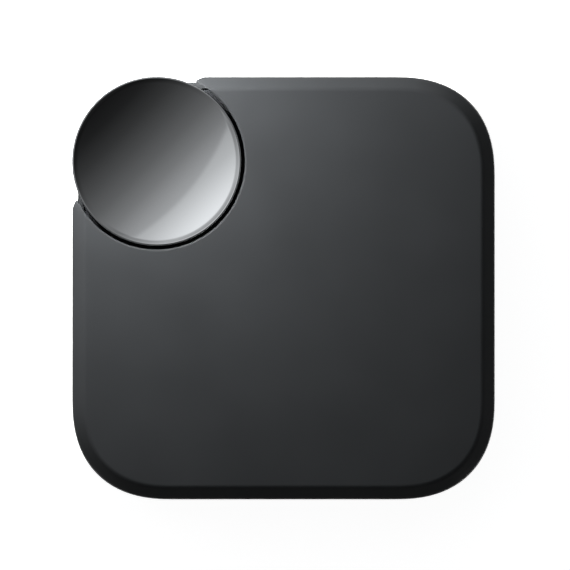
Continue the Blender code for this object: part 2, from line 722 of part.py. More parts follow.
def main_board(parent):
    """The circuit board fills the dial's corner of the base."""
    low, high, corner = BOARD_LO, BOARD_HI, 9.4 * MM
    outline = list(arc((low[0] + corner, high[1] - corner), corner, 90, 180, 10))
    outline += [low, (high[0], low[1]), high]
    bm = bmesh.new()
    add_prism(bm, outline, *BOARD_Z)
    board = to_object("main_board", bm, "board", parent)
    holes = bmesh.new()
    for x, y in BOARD_SCREWS:
        add_cylinder(holes, 0.9 * MM, BOARD_Z[0] - 1 * MM, BOARD_Z[1] + 1 * MM, (x, y, 0), segments=16)
    boolean(board, helper("board_holes", holes))


def board_parts(parent):
    """What is soldered to the main board: name, place, size and surface."""
    base = BOARD_Z[1] + 0.1 * MM
    parts = (
        ("charging_chip", (-6, 10), (4.0, 4.0, 0.9), "chip"),
        ("radio_chip", (-5, 19.5), (5.0, 5.0, 0.9), "chip"),
        ("power_inductor", (-12, 4.5), (3.0, 3.0, 1.8), "chip"),
        ("lid_sensor", (-21, -1), (2.0, 1.5, 0.7), "chip"),
        ("status_led", (-3, 3), (1.6, 1.2, 0.6), "light_pipe"),
        ("battery_plug", (-7.1, -1.0), (3.4, 2.6, 1.6), "nylon"),
    )
    for name, (x, y), (w, d, h), surface in parts:
        low = ((x - w / 2) * MM, (y - d / 2) * MM, base)
        high = ((x + w / 2) * MM, (y + d / 2) * MM, base + h * MM)
        box_piece(name, low, high, surface, parent)


def usb_socket(parent):
    """The charging socket: a drawn steel shell with a tongue inside."""
    mouth_x, back_x = -HALF + 0.3 * MM, -HALF + 7.6 * MM
    half_w, half_h, wall = USB_W / 2, USB_H / 2, 0.3 * MM

    def stadium(shrink, xs):
        w, h = half_w - shrink, half_h - shrink
        outline = rounded_rectangle((-w, -h), (w, h), h * 0.98, 5)
        return [[(x, USB_Y + u, USB_Z + v) for u, v in outline] for x in xs]

    bm = bmesh.new()
    add_rings(bm, stadium(0, (mouth_x, back_x)))
    shell = to_object("usb_socket_shell", bm, "steel", parent, smooth_angle=35)
    bore = bmesh.new()
    add_rings(bore, stadium(wall, (mouth_x - 1 * MM, back_x - wall)))
    boolean(shell, helper("usb_bore", bore))

    block = bmesh.new()
    add_rings(block, stadium(wall + 0.1 * MM, (back_x - 2.2 * MM, back_x - wall - 0.1 * MM)))
    tongue = to_object("usb_socket_tongue", block, "chip", parent)
    blade = (mouth_x + 0.8 * MM, USB_Y - 3.3 * MM, USB_Z - 0.35 * MM)
    root = (back_x - 2.0 * MM, USB_Y + 3.3 * MM, USB_Z + 0.35 * MM)
    boolean(tongue, helper_box("usb_blade", blade, root), "UNION")


def battery(parent):
    low, high = BATTERY_LO, BATTERY_HI
    outline = rounded_rectangle(low[:2], high[:2], 2.0 * MM, 4)
    bm = bmesh.new()
    add_prism(bm, outline, low[2], high[2])
    edges = [e for e in bm.edges if abs(e.verts[0].co.z - e.verts[1].co.z) < 1e-9]
    bmesh.ops.bevel(bm, geom=edges, offset=0.7 * MM, segments=2, affect="EDGES")
    to_object("battery_cell", bm, "battery_wrap", parent, smooth_angle=35)
    pad_low = (low[0] + 4 * MM, low[1] + 4 * MM, BASE_WALL + 0.05 * MM)
    pad_high = (high[0] - 4 * MM, high[1] - 4 * MM, low[2] - 0.05 * MM)
    box_piece("battery_pad", pad_low, pad_high, "nylon", parent)
    for name, surface, shift in (("battery_lead_red", "lead_red", 0), ("battery_lead_black", "lead_black", 1)):
        offset = shift * 1.2 * MM
        route = [(-2.35, -6.2), (-4.2, -6.1), (-5.6, -5.5), (-6.3, -4.4), (-6.5, -2.7)]
        points = [(x * MM - offset * i / 4, y * MM - offset * (4 - i) / 4, 4.3 * MM)
                  for i, (x, y) in enumerate(route)]
        tube_piece(name, points, 0.4 * MM, surface, parent, 1)


def charging_contacts(base_parent, axes):
    """Under each stem: a small board, two barrels and two sprung pins."""
    for side in ("left", "right"):
        bm = bmesh.new()
        add_box_for(bm, side, (-4.8 * MM, -18.6 * MM, 6.8 * MM), (6.6 * MM, -12.4 * MM, 7.3 * MM))
        to_object(f"{side}_contact_board", bm, "board", base_parent)
        contact_flex(side, base_parent)
        for number, x in enumerate(PIN_XS, 1):
            centre = (*placed(side, x, STEM_Y), 0)
            profile = [(0, 7.4), (0.75, 7.4), (0.75, 9.2), (0.57, 9.2), (0.57, 7.6), (0, 7.6)]
            turned_piece(f"{side}_pin_barrel_{number}", [(r * MM, z * MM) for r, z in profile],
                         centre, "gold", base_parent, segments=16)
            profile = [(0, 8.3), (0.46, 8.3), (0.46, 9.7), (0.30, 10.0), (0, 10.1)]
            turned_piece(f"{side}_charging_pin_{number}", [(r * MM, z * MM) for r, z in profile],
                         centre, "gold", axes[side, number], segments=16)


def contact_flex(side, parent):
    """A flat flexible circuit from a contact board down to the main board."""
    route = ((-12.2, 6.9), (-4.4, 6.9), (-3.0, 3.55), (-0.6, 3.55))
    thick = 0.15
    outline = [(y, z) for y, z in route] + [(y - 0.05, z + thick) for y, z in route[::-1]]
    bm = bmesh.new()
    rings = []
    for x in (-4.6, -2.6):
        ring = []
        for y, z in outline:
            ring.append((*placed(side, x * MM, y * MM), z * MM))
        rings.append(ring)
    add_rings(bm, rings)
    to_object(f"{side}_contact_flex", bm, "flex", parent)


def status_light(parent):
    profile = [(0, 4.4), (1.0, 4.4), (1.0, 12.1), (0, 12.2)]
    turned_piece("status_light_pipe", [(r * MM, z * MM) for r, z in profile], (*LIGHT, 0),
                 "light_pipe", parent, segments=16)


# ---------------------------------------------------------------- dial


def dial_knob(parent):
    """The turned skirt that the fingers hold. Its hub runs on the carrier's axle."""
    hub_z, web_z, rim_z = 18.5 * MM, 19.8 * MM, DIAL_SPLIT_Z - 0.2 * MM
    inner, seat = 10.7 * MM, 11.2 * MM
    profile = [
        (AXLE_R + 0.2 * MM, hub_z), (4.5 * MM, hub_z), (inner - 0.8 * MM, hub_z + 0.3 * MM),
        (inner, hub_z - 0.5 * MM), (inner, DIAL_FOOT_Z), (DIAL_R - 0.3 * MM, DIAL_FOOT_Z),
        (DIAL_R, DIAL_FOOT_Z + 0.3 * MM), (DIAL_R, rim_z), (seat, rim_z), (seat, web_z),
        (AXLE_R + 0.2 * MM, web_z),
    ]
    turned_piece("dial_knob", profile, (DIAL_X, DIAL_Y, 0), "dial_metal", parent, segments=48)


def dial_cap(parent):
    """The polished cap: a shallow dish that runs out to a thin rim."""
    profile = [(0, DIAL_SPLIT_Z), (9.6 * MM, DIAL_SPLIT_Z), (9.6 * MM, 20.1 * MM),
               (10.8 * MM, 20.1 * MM), (10.8 * MM, DIAL_SPLIT_Z), (DIAL_R, DIAL_SPLIT_Z),
               (DIAL_R, HEIGHT - 0.2 * MM), (DIAL_R - 0.06 * MM, HEIGHT - 0.06 * MM)]
    for share in (1, 0.8, 0.6, 0.4, 0.2, 0):
        profile.append((DISH_R * share, HEIGHT - DISH_DEPTH * (1 - share ** 2)))
    turned_piece("dial_cap", profile, (DIAL_X, DIAL_Y, 0), "dial_gloss", parent, segments=48)


def dial_magnet_and_clip(parent, carrier_parent):
    ring = [(8.6, 13.3), (10.4, 13.3), (10.4, 14.9), (8.6, 14.9)]
    turned_piece("dial_magnet_ring", [(r * MM, z * MM) for r, z in ring], (DIAL_X, DIAL_Y, 0),
                 "magnet", parent, segments=24)
    bm = bmesh.new()
    add_tube(bm, 1.45 * MM, 3.2 * MM, 20.0 * MM, 20.3 * MM, (DIAL_X, DIAL_Y, 0), segments=24)
    clip = to_object("dial_retaining_clip", bm, "steel", carrier_parent, smooth_angle=35)
    low = (DIAL_X, DIAL_Y - 1.0 * MM, 19 * MM)
    boolean(clip, helper_box("clip_mouth", low, (DIAL_X + 4 * MM, DIAL_Y + 1.0 * MM, 21 * MM)))


def dial_carrier(parent):
    """The part that slides in the guide tube when the dial is pressed, and doesn't turn."""
    profile = [
        (0, 6.3 * MM), (STEM_R - 0.3 * MM, 6.3 * MM), (STEM_R, 6.6 * MM), (STEM_R, FLANGE_Z),
        (7.2 * MM, FLANGE_Z), (7.2 * MM, 18.1 * MM), (AXLE_R, 18.1 * MM), (AXLE_R, 19.95 * MM),
        (1.3 * MM, 19.95 * MM), (1.3 * MM, 20.35 * MM), (AXLE_R, 20.35 * MM), (AXLE_R, 20.6 * MM),
        (0, 20.6 * MM),
    ]
    bm = bmesh.new()
    add_turned(bm, profile, (DIAL_X, DIAL_Y, 0), "Z", 24)
    carrier = to_object("dial_carrier", bm, "nylon", parent, smooth_angle=35)
    key = (DIAL_X - 0.6 * MM, DIAL_Y + 2 * MM, 9 * MM), (DIAL_X + 0.6 * MM, DIAL_Y + 4.6 * MM, 16 * MM)
    boolean(carrier, helper_box("carrier_key", *key), "UNION")


def dial_spring(parent):
    """The coil that lifts the dial back, standing round the guide tube."""
    mean, wire = 6.1 * MM, 0.3 * MM
    low, high, turns, per_turn = 12.6 * MM, 16.9 * MM, 3.5, 16
    count = int(turns * per_turn)
    points = []
    for i in range(count + 1):
        angle = 2 * math.pi * i / per_turn
        x, y = DIAL_X + mean * math.cos(angle), DIAL_Y + mean * math.sin(angle)
        points.append((x, y, low + (high - low) * i / count))
    tube_piece("dial_spring", points, wire, "steel", parent, 1)


def dial_electronics(parent, carrier_parent):
    """A ring board with two sensors under the dial's magnet, and the push switch on the main board."""
    ring = [(5.8, 9.7), (10.0, 9.7), (10.0, 10.3), (5.8, 10.3)]
    turned_piece("dial_sensor_board", [(r * MM, z * MM) for r, z in ring], (DIAL_X, DIAL_Y, 0),
                 "board", parent, segments=24)
    for number, angle in enumerate((-45, -100), 1):
        x = DIAL_X + 8.0 * MM * math.cos(math.radians(angle))
        y = DIAL_Y + 8.0 * MM * math.sin(math.radians(angle))
        low = (x - 1.1 * MM, y - 1.1 * MM, 10.4 * MM)
        box_piece(f"dial_sensor_{number}", low, (x + 1.1 * MM, y + 1.1 * MM, 10.95 * MM), "chip", parent)
    base = BOARD_Z[1] + 0.1 * MM
    half = 2.6 * MM
    body = box_piece("dial_switch", (DIAL_X - half, DIAL_Y - half, base),
                     (DIAL_X + half, DIAL_Y + half, 5.4 * MM), "chip", parent)
    well = bmesh.new()
    add_cylinder(well, 1.8 * MM, 4.3 * MM, 6 * MM, (DIAL_X, DIAL_Y, 0), segments=20)
    boolean(body, helper("switch_well", well))
    profile = [(0, 5.0), (1.5, 5.0), (1.5, 6.0), (1.3, 6.2), (0, 6.2)]
    turned_piece("dial_switch_button", [(r * MM, z * MM) for r, z in profile], (DIAL_X, DIAL_Y, 0),
                 "nylon", carrier_parent, segments=20)


# ---------------------------------------------------------------- the whole case


def main():
    clear_scene()
    base = axis_empty("base_origin", (0, 0, 0))
    lid = axis_empty("lid_hinge_axis", (0, HINGE_Y, HINGE_Z))
    carrier = axis_empty("dial_press_axis", (DIAL_X, DIAL_Y, GUIDE_TOP_Z))
    dial = axis_empty("dial_turn_axis", (DIAL_X, DIAL_Y, DIAL_FOOT_Z))
    pins = {}
    for side in ("left", "right"):
        for number, x in enumerate(PIN_XS, 1):
            place = (*placed(side, x, STEM_Y), 9.2 * MM)
            pins[side, number] = axis_empty(f"{side}_pin_axis_{number}", place)
    base_shell()
    base_cradle()
    lid_shell(lid)
    lid_liner(lid)
    magnets(base, lid)
    hinge(base, lid)
    screws(base, lid)
    main_board(base)
    board_parts(base)
    usb_socket(base)
    battery(base)
    charging_contacts(base, pins)
    status_light(base)
    dial_knob(dial)
    dial_cap(dial)
    dial_magnet_and_clip(dial, carrier)
    dial_carrier(carrier)
    dial_spring(base)
    dial_electronics(base, carrier)


main()
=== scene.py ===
"""The looks of the earbud charging case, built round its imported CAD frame. Lengths are in metres,
and z is up out of the lid's top face."""

import json
import math

import bmesh
import bpy
from mathutils import Matrix, Vector


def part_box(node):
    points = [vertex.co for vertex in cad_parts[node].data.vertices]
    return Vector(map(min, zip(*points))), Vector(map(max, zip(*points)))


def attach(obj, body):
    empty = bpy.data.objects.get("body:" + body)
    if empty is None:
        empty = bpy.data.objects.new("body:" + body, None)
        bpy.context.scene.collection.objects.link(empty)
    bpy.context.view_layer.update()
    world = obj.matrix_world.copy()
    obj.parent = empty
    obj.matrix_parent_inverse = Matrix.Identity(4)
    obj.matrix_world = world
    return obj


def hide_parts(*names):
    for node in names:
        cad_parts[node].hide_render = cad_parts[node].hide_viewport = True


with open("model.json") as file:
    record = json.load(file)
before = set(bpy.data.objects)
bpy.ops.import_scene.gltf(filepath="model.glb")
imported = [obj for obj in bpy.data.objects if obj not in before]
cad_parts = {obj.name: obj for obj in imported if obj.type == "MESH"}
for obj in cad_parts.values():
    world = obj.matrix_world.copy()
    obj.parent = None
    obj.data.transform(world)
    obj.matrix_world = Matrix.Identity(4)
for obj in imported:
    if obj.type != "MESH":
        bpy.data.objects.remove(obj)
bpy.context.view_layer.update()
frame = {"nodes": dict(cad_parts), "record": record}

MM = 0.001

# The case, as its CAD frame has it
HALF = 30.0 * MM
HEIGHT = 23.0 * MM
CORNER_REACH, CORNER_POWER = 14.2 * MM, 2.4
EDGE_R = 2.0 * MM
EDGE_WIDTH, EDGE_DEPTH = 1.72 * MM, 1.6 * MM     # the slope round the top and the bottom face
FOOT_BEND, BROW_BEND = 0.38 * MM, 0.45 * MM      # its bends, into the wall and into the face
SEAM_LOW, SEAM_HIGH = 12.30 * MM, 12.50 * MM
LID_WALL, BASE_WALL = 1.3 * MM, 1.5 * MM
CEILING_Z = HEIGHT - LID_WALL
INNER_BEND, RIM_BEVEL = 1.0 * MM, 0.12 * MM
RIM_ROUND = ((0.18, 0), (0.09, 0.025), (0.025, 0.09), (0, 0.18))     # (inset, height) in mm, at the seam
DIAL_X, DIAL_Y, DIAL_R = -18.0 * MM, 18.0 * MM, 12.0 * MM
NOTCH_R = 12.50 * MM
NOTCH_EDGE_R = 0.35 * MM
NOTCH_DRAFT = 0.7 * MM
HINGE_Y, HINGE_Z = -28.4 * MM, 12.4 * MM
RIDGE_R, SWING_R, SWING_END = 1.6 * MM, 1.9 * MM, 26 * MM
GROOVE_Z = 10.2 * MM
RIDGE_START, RIDGE_END = 13.3 * MM, 25.0 * MM

# The inner mouldings, with the left earbud's pocket; the right one is its mirror image in the diagonal
CRADLE_LOW, CRADLE_TOP = 11.1 * MM, 12.2 * MM
LINER_LOW, LINER_TOP = 12.6 * MM, 13.5 * MM
FIT = 0.15 * MM
SKIN = 0.9 * MM
LIP = 0.32 * MM
BURIED = 0.35 * MM     # how far below a plate's face its pockets' walls end
KEY_WIDTH, LEAF_SLOT = 1.8 * MM, 8.4 * MM
HEAD, HEAD_AXES = (-14.5 * MM, -14.5 * MM, 12.9 * MM), (8.8 * MM, 8.2 * MM, 6.9 * MM)
TIP_X, TIP_Y, TIP_R, TIP_FLOOR, TIP_BEND = -16.5 * MM, -12.5 * MM, 6.2 * MM, 2.8 * MM, 3.4 * MM
STEM_Y, STEM_Z, STEM_R, STEM_END = -15.5 * MM, 13.0 * MM, 3.7 * MM, 8.5 * MM
PIN_XS, PIN_HOLE = (0.5 * MM, 3.5 * MM), 0.95 * MM
LIGHT_X, LIGHT_Y, LIGHT_HOLE = -3.0 * MM, 3.0 * MM, 1.3 * MM
SOCKET_Y, SOCKET_Z = 2.0 * MM, 5.1 * MM
KNUCKLE_R, KNUCKLE_BORE = 1.45 * MM, 0.72 * MM
GUIDE_IN, GUIDE_OUT, GUIDE_LOW, GUIDE_TOP = 4.0 * MM, 5.2 * MM, 8.4 * MM, 16.5 * MM


# ---------------------------------------------------------------- objects


def link(name, data):
    obj = bpy.data.objects.new(name, data)
    bpy.context.scene.collection.objects.link(obj)
    return obj


def to_object(name, bm, smooth_angle=40):
    bmesh.ops.recalc_face_normals(bm, faces=bm.faces)
    mesh = bpy.data.meshes.new(name)
    bm.to_mesh(mesh)
    bm.free()
    mesh.shade_smooth()
    mesh.set_sharp_from_angle(angle=math.radians(smooth_angle))
    return link(name, mesh)


def piece(obj, body, slot, surface, *nodes):
    """Dresses a finished object and puts it in the place of CAD nodes."""
    obj.data.materials.clear()
    obj.data.materials.append(surface)
    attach(obj, body)
    if nodes:
        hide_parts(*nodes)
    return obj


def apply_boolean(target, tool, operation="DIFFERENCE"):
    """Cuts or joins, keeps the result as plain mesh and removes the tool."""
    modifier = target.modifiers.new("cut", "BOOLEAN")
    modifier.object, modifier.operation, modifier.solver = tool, operation, "EXACT"
    bake(target)
    bpy.data.objects.remove(tool, do_unlink=True)


def bake(obj):
    """Turns an object's modifiers into plain mesh."""
    graph = bpy.context.evaluated_depsgraph_get()
    mesh = bpy.data.meshes.new_from_object(obj.evaluated_get(graph))
    obj.modifiers.clear()
    obj.data = mesh


def soften(obj, width, angle=40, segments=3):
    """Rounds an object's sharp edges and evens out its shading."""
    bevel = obj.modifiers.new("soften", "BEVEL")
    bevel.width, bevel.segments = width, segments
    bevel.limit_method, bevel.angle_limit = "ANGLE", math.radians(angle)
    bevel.use_clamp_overlap = True
    bake(obj)
    obj.data.shade_smooth()
    obj.data.set_sharp_from_angle(angle=math.radians(35))


# ---------------------------------------------------------------- shapes


def add_rings(bm, rings, cap_low=True, cap_high=True):
    loops = [[bm.verts.new(p) for p in ring] for ring in rings]
    count = len(loops[0])
    for low, high in zip(loops, loops[1:]):
        for i in range(count):
            j = (i + 1) % count
            bm.faces.new((low[i], low[j], high[j], high[i]))
    if cap_low:
        bm.faces.new(loops[0][::-1])
    if cap_high:
        bm.faces.new(loops[-1])


def add_box(bm, low, high):
    corners = [(low[0], low[1]), (high[0], low[1]), (high[0], high[1]), (low[0], high[1])]
    add_rings(bm, [[(x, y, z) for x, y in corners] for z in (low[2], high[2])])


def add_turned(bm, profile, centre, along="Z", segments=96):
    """Turns (radius, height) points round an axis through centre; a profile clear of the axis
    is a closed loop."""
    turn = Matrix.Rotation(math.radians(90), 4, "Y") if along == "X" else Matrix()
    place = Matrix.Translation(Vector(centre)) @ turn
    rings = []
    for radius, height in profile:
        if radius < 1e-9:
            rings.append([bm.verts.new(place @ Vector((0, 0, height)))])
            continue
        angles = [2 * math.pi * i / segments for i in range(segments)]
        rings.append([
            bm.verts.new(place @ Vector((radius * math.cos(a), radius * math.sin(a), height)))
            for a in angles
        ])
    pairs = list(zip(rings, rings[1:]))
    if all(len(ring) > 1 for ring in rings):
        pairs.append((rings[-1], rings[0]))
    for low, high in pairs:
        for i in range(segments):
            j = (i + 1) % segments
            a, b = low[i % len(low)], low[j % len(low)]
            c, d = high[j % len(high)], high[i % len(high)]
            corners = list(dict.fromkeys((a, b, c, d)))
            if len(corners) > 2:
                bm.faces.new(corners)


def add_rod(bm, radius, low, high, centre, along="Z", segments=96):
    """A round bar from low to high along its axis."""
    add_turned(bm, [(0, low), (radius, low), (radius, high), (0, high)], centre, along, segments)


def add_ellipsoid(bm, centre, axes, turns=72, bands=36):
    profile = [
        (math.sin(math.pi * i / bands), -math.cos(math.pi * i / bands)) for i in range(bands + 1)
    ]
    profile[0], profile[-1] = (0, -1), (0, 1)
    before = set(bm.verts)
    add_turned(bm, profile, (0, 0, 0), "Z", turns)
    for vert in set(bm.verts) - before:
        vert.co = Vector(centre) + Vector(c * a for c, a in zip(vert.co, axes))


def round_profile(points, radius, steps=4):
    """Rounds the corners of a closed (radius, height) profile; points on the axis stay sharp."""
    rounded = []
    count = len(points)
    for i, here in enumerate(points):
        before, after = points[i - 1], points[(i + 1) % count]
        if here[0] < 1e-9:
            rounded.append(here)
            continue
        here, before, after = Vector(here), Vector(before), Vector(after)
        back, on = before - here, after - here
        reach = min(radius, back.length * 0.45, on.length * 0.45)
        start, end = here + back.normalized() * reach, here + on.normalized() * reach
        for k in range(steps + 1):
            t = k / steps
            rounded.append(tuple(start * (1 - t) ** 2 + here * 2 * t * (1 - t) + end * t ** 2))
    return rounded


def soft_corner(sx, sy, inset, steps=22):
    """A superellipse corner in the quadrant of (sx, sy), counter-clockwise."""
    reach, inner = CORNER_REACH - inset, HALF - CORNER_REACH
    points = []
    for i in range(steps + 1):
        angle = math.radians(90 * i / steps)
        u = math.cos(angle) ** (2 / CORNER_POWER) if i < steps else 0.0
        v = math.sin(angle) ** (2 / CORNER_POWER)
        points.append((sx * (inner + reach * u), sy * (inner + reach * v)))
    return points if sx * sy > 0 else points[::-1]


def across(points):
    """The points mirrored in the case's diagonal, in the opposite order."""
    return [(-y, -x) for x, y in reversed(points)]


def soft_max(a, b, softness):
    return 0.5 * (a + b + math.sqrt((a - b) ** 2 + softness ** 2))


SLANT_X, SLANT = -11.35 * MM, 0.47     # where the lid's edge turns in at the notch, and how steeply
NOSE_REACH = 0.45 * MM
DENT_X, DENT_RUN, DENT = -11.2 * MM, 1.7 * MM, 0.62 * MM     # where the base's edge dips at the dial
STRAIGHT_END, ARC_START = -10.6 * MM, -13.0 * MM


def lid_edge_y(x, inset):
    """The lid's +Y edge: straight, then slanting in to the notch's mouth."""
    return HALF - soft_max(inset, SLANT * (SLANT_X - x), 0.05 * MM)


def lid_ring(inset, radius, z):
    """The lid's outline with a side inset and a notch radius, always with the same number of points."""
    def gap(x):
        return lid_edge_y(x, inset) - DIAL_Y - math.sqrt(max(radius ** 2 - (x - DIAL_X) ** 2, 0))

    low, high = DIAL_X + 1 * MM, DIAL_X + radius
    for _ in range(50):
        middle = (low + high) / 2
        if gap(middle) > 0:
            high = middle
        else:
            low = middle
    tip_x = high
    tip = Vector((tip_x, lid_edge_y(tip_x, inset)))
    turn = math.atan2(tip.y - DIAL_Y, tip.x - DIAL_X)
    start = HALF - CORNER_REACH
    side = []
    for i in range(1, 19):
        share = 1 - (1 - i / 18) ** 2
        x = start + (tip_x + NOSE_REACH - start) * share
        side.append((x, lid_edge_y(x, inset)))
    turn_end = turn - NOSE_REACH / radius
    end = Vector((DIAL_X + radius * math.cos(turn_end), DIAL_Y + radius * math.sin(turn_end)))
    begin = Vector(side[-1])
    nose = []
    for i in range(1, 10):
        t = i / 10
        a, b = begin.lerp(tip, 0.78), end.lerp(tip, 0.78)
        point = (begin * (1 - t) ** 3 + a * 3 * t * (1 - t) ** 2 + b * 3 * t * t * (1 - t) + end * t ** 3)
        nose.append(tuple(point))
    arc = []
    for i in range(33):
        angle = turn_end + (math.radians(-45) - turn_end) * i / 32
        arc.append((DIAL_X + radius * math.cos(angle), DIAL_Y + radius * math.sin(angle)))
    half = [*soft_corner(1, 1, inset), *side, *nose, *arc]
    outline = [*half, *across(half)[1:], *soft_corner(1, -1, inset)]
    return [(x, y, z) for x, y in outline]


def base_ring(inset, z):
    """The base's outline: three soft corners, and an arc under the dial with a dent at each end."""
    radius = DIAL_R - inset
    start = HALF - CORNER_REACH
    half = list(soft_corner(1, 1, inset))
    for i in range(1, 15):
        x = start + (STRAIGHT_END - start) * i / 14
        half.append((x, HALF - inset))
    last = DIAL_X + 2.6 * MM
    for i in range(1, 25):
        x = STRAIGHT_END + (last - STRAIGHT_END) * i / 24
        ramp = min(max((DENT_X - x) / DENT_RUN, 0), 1)
        dent = DENT * ramp * ramp * (3 - 2 * ramp)
        circle = DIAL_Y + math.sqrt(radius ** 2 - (x - DIAL_X) ** 2)
        flat = HALF - inset - dent
        if x > ARC_START:
            half.append((x, flat))
        else:
            half.append((x, soft_max(circle, flat, 0.04 * MM)))
    first = math.atan2(half[-1][1] - DIAL_Y, half[-1][0] - DIAL_X)
    for i in range(1, 25):
        angle = first + (math.radians(135) - first) * i / 24
        half.append((DIAL_X + radius * math.cos(angle), DIAL_Y + radius * math.sin(angle)))
    outline = [*half, *across(half)[1:], *soft_corner(1, -1, inset)]
    return [(x, y, z) for x, y in outline]


def bend(before, corner, after, reach, steps=8):
    """Points of a soft bend round a corner of a profile."""
    before, corner, after = Vector(before), Vector(corner), Vector(after)
    start = corner + (before - corner).normalized() * reach
    end = corner + (after - corner).normalized() * reach
    for i in range(steps + 1):
        t = i / steps
        yield tuple(start * (1 - t) ** 2 + corner * 2 * t * (1 - t) + end * t ** 2)


def edge_profile():
    """(inset, height below or above the face): the wall, a soft bend, a narrow slope, and a softer bend."""
    wall, foot, brow, face = (0, EDGE_R), (0, EDGE_DEPTH), (EDGE_WIDTH, 0), (3 * MM, 0)
    return [wall, *bend(wall, foot, brow, FOOT_BEND), *bend(foot, brow, face, BROW_BEND)]


def cut_rod(target, *rod):
    """Cuts a round hole; rod is what add_rod takes after its mesh."""
    bm = bmesh.new()
    add_rod(bm, *rod)
    apply_boolean(target, to_object("rod_tool", bm))


def with_box(target, low, high, operation="DIFFERENCE"):
    """Cuts a box out of the target, or joins one on to it."""
    bm = bmesh.new()
    add_box(bm, low, high)
    apply_boolean(target, to_object("box_tool", bm), operation)


# ---------------------------------------------------------------- lid and base shells


def notch_radius(z):
    """The notch's wall leans back towards the seam, and its top edge is rounded."""
    radius = NOTCH_R + NOTCH_DRAFT * (HEIGHT - z) / (HEIGHT - SEAM_HIGH)
    rise = (z - (HEIGHT - NOTCH_EDGE_R)) / NOTCH_EDGE_R
    if rise > 0:
        radius += NOTCH_EDGE_R * (1 - math.sqrt(max(1 - rise * rise, 0)))
    return radius


def inner_bend():
    """(inset, height) pairs of the round between a shell's flat inside and its walls."""
    for angle in (90, 60, 30, 0):
        turn = math.radians(angle)
        yield INNER_BEND * (1 - math.cos(turn)), INNER_BEND * (1 - math.sin(turn))


def lid_shell():
    """The lid's rings run down inside from the ceiling to the seam, and up outside to the top face."""
    rings = []
    foot_radius = notch_radius(SEAM_HIGH)
    for shrink, drop in inner_bend():
        rings.append(lid_ring(LID_WALL + shrink, foot_radius + LID_WALL + shrink, CEILING_Z - drop))
    rings.append(lid_ring(LID_WALL, foot_radius + LID_WALL, SEAM_HIGH + RIM_BEVEL))
    rings.append(lid_ring(LID_WALL - RIM_BEVEL, foot_radius + LID_WALL - RIM_BEVEL, SEAM_HIGH))
    for inset, dz in RIM_ROUND:
        rings.append(lid_ring(inset * MM, foot_radius + inset * MM, SEAM_HIGH + dz * MM))
    for z in (14.5, 17, 19, 20.4):
        rings.append(lid_ring(0, notch_radius(z * MM), z * MM))
    for inset, drop in edge_profile():
        rings.append(lid_ring(inset, notch_radius(HEIGHT - drop), HEIGHT - drop))
    bm = bmesh.new()
    add_rings(bm, rings)
    shell = to_object("lid_shell_skin", bm)
    cut_rod(shell, SWING_R, -SWING_END, SWING_END, (0, HINGE_Y, HINGE_Z), "X")
    shell.data.shade_smooth()
    shell.data.set_sharp_from_angle(angle=math.radians(30))
    return shell


def base_shell():
    """The base's rings run up inside from the floor to the seam, and down outside to the underside."""
    rings = [base_ring(BASE_WALL + shrink, BASE_WALL + rise) for shrink, rise in inner_bend()]
    rings.append(base_ring(BASE_WALL, SEAM_LOW - RIM_BEVEL))
    rings.append(base_ring(BASE_WALL - RIM_BEVEL, SEAM_LOW))
    rings += [base_ring(inset * MM, SEAM_LOW - dz * MM) for inset, dz in RIM_ROUND]
    for z in (9, 6, 4, 2.6):
        rings.append(base_ring(0, z * MM))
    for inset, drop in edge_profile():
        rings.append(base_ring(inset, drop))
    bm = bmesh.new()
    add_rings(bm, rings)
    shell = to_object("base_shell_skin", bm)
    with_box(shell, (-RIDGE_END, -HALF - 1 * MM, GROOVE_Z), (RIDGE_END, HINGE_Y + 1.9 * MM, 14 * MM))
    for sign in (-1, 1):
        start, end = sorted((sign * RIDGE_START, sign * (RIDGE_END + 0.3 * MM)))
        barrel = bmesh.new()
        middle, half = (start + end) / 2, (end - start) / 2
        profile = round_profile([(0, -half), (RIDGE_R, -half), (RIDGE_R, half), (0, half)], 0.15 * MM)
        add_turned(barrel, profile, (middle, HINGE_Y, HINGE_Z), "X", 96)
        ridge = to_object(f"ridge_{'a' if sign < 0 else 'b'}", barrel)
        with_box(ridge, (start, HINGE_Y - 0.3 * MM, GROOVE_Z - 0.6 * MM),
                 (end, HINGE_Y + 1.4 * MM, HINGE_Z), "UNION")
        trim = bmesh.new()
        add_rings(trim, [base_ring(0.04 * MM, 5 * MM), base_ring(0.04 * MM, HEIGHT)])
        apply_boolean(ridge, to_object("trim_tool", trim), "INTERSECT")
        apply_boolean(shell, ridge, "UNION")
    hole = bmesh.new()
    add_rings(hole, [[(x, SOCKET_Y + u, SOCKET_Z + v) for u, v in stadium(9.5 * MM, 3.9 * MM)]
                     for x in (-31 * MM, -26 * MM)])
    apply_boolean(shell, to_object("socket_tool", hole))
    shell.data.shade_smooth()
    shell.data.set_sharp_from_angle(angle=math.radians(30))
    return shell


def stadium(width, height, steps=14):
    """A slot's outline with round ends, counter-clockwise."""
    radius, reach = height / 2, width / 2 - height / 2
    points = []
    for i in range(steps + 1):
        angle = math.radians(-90 + 180 * i / steps)
        points.append((reach + radius * math.cos(angle), radius * math.sin(angle)))
    return points + [(-u, -v) for u, v in points]


# ---------------------------------------------------------------- dial


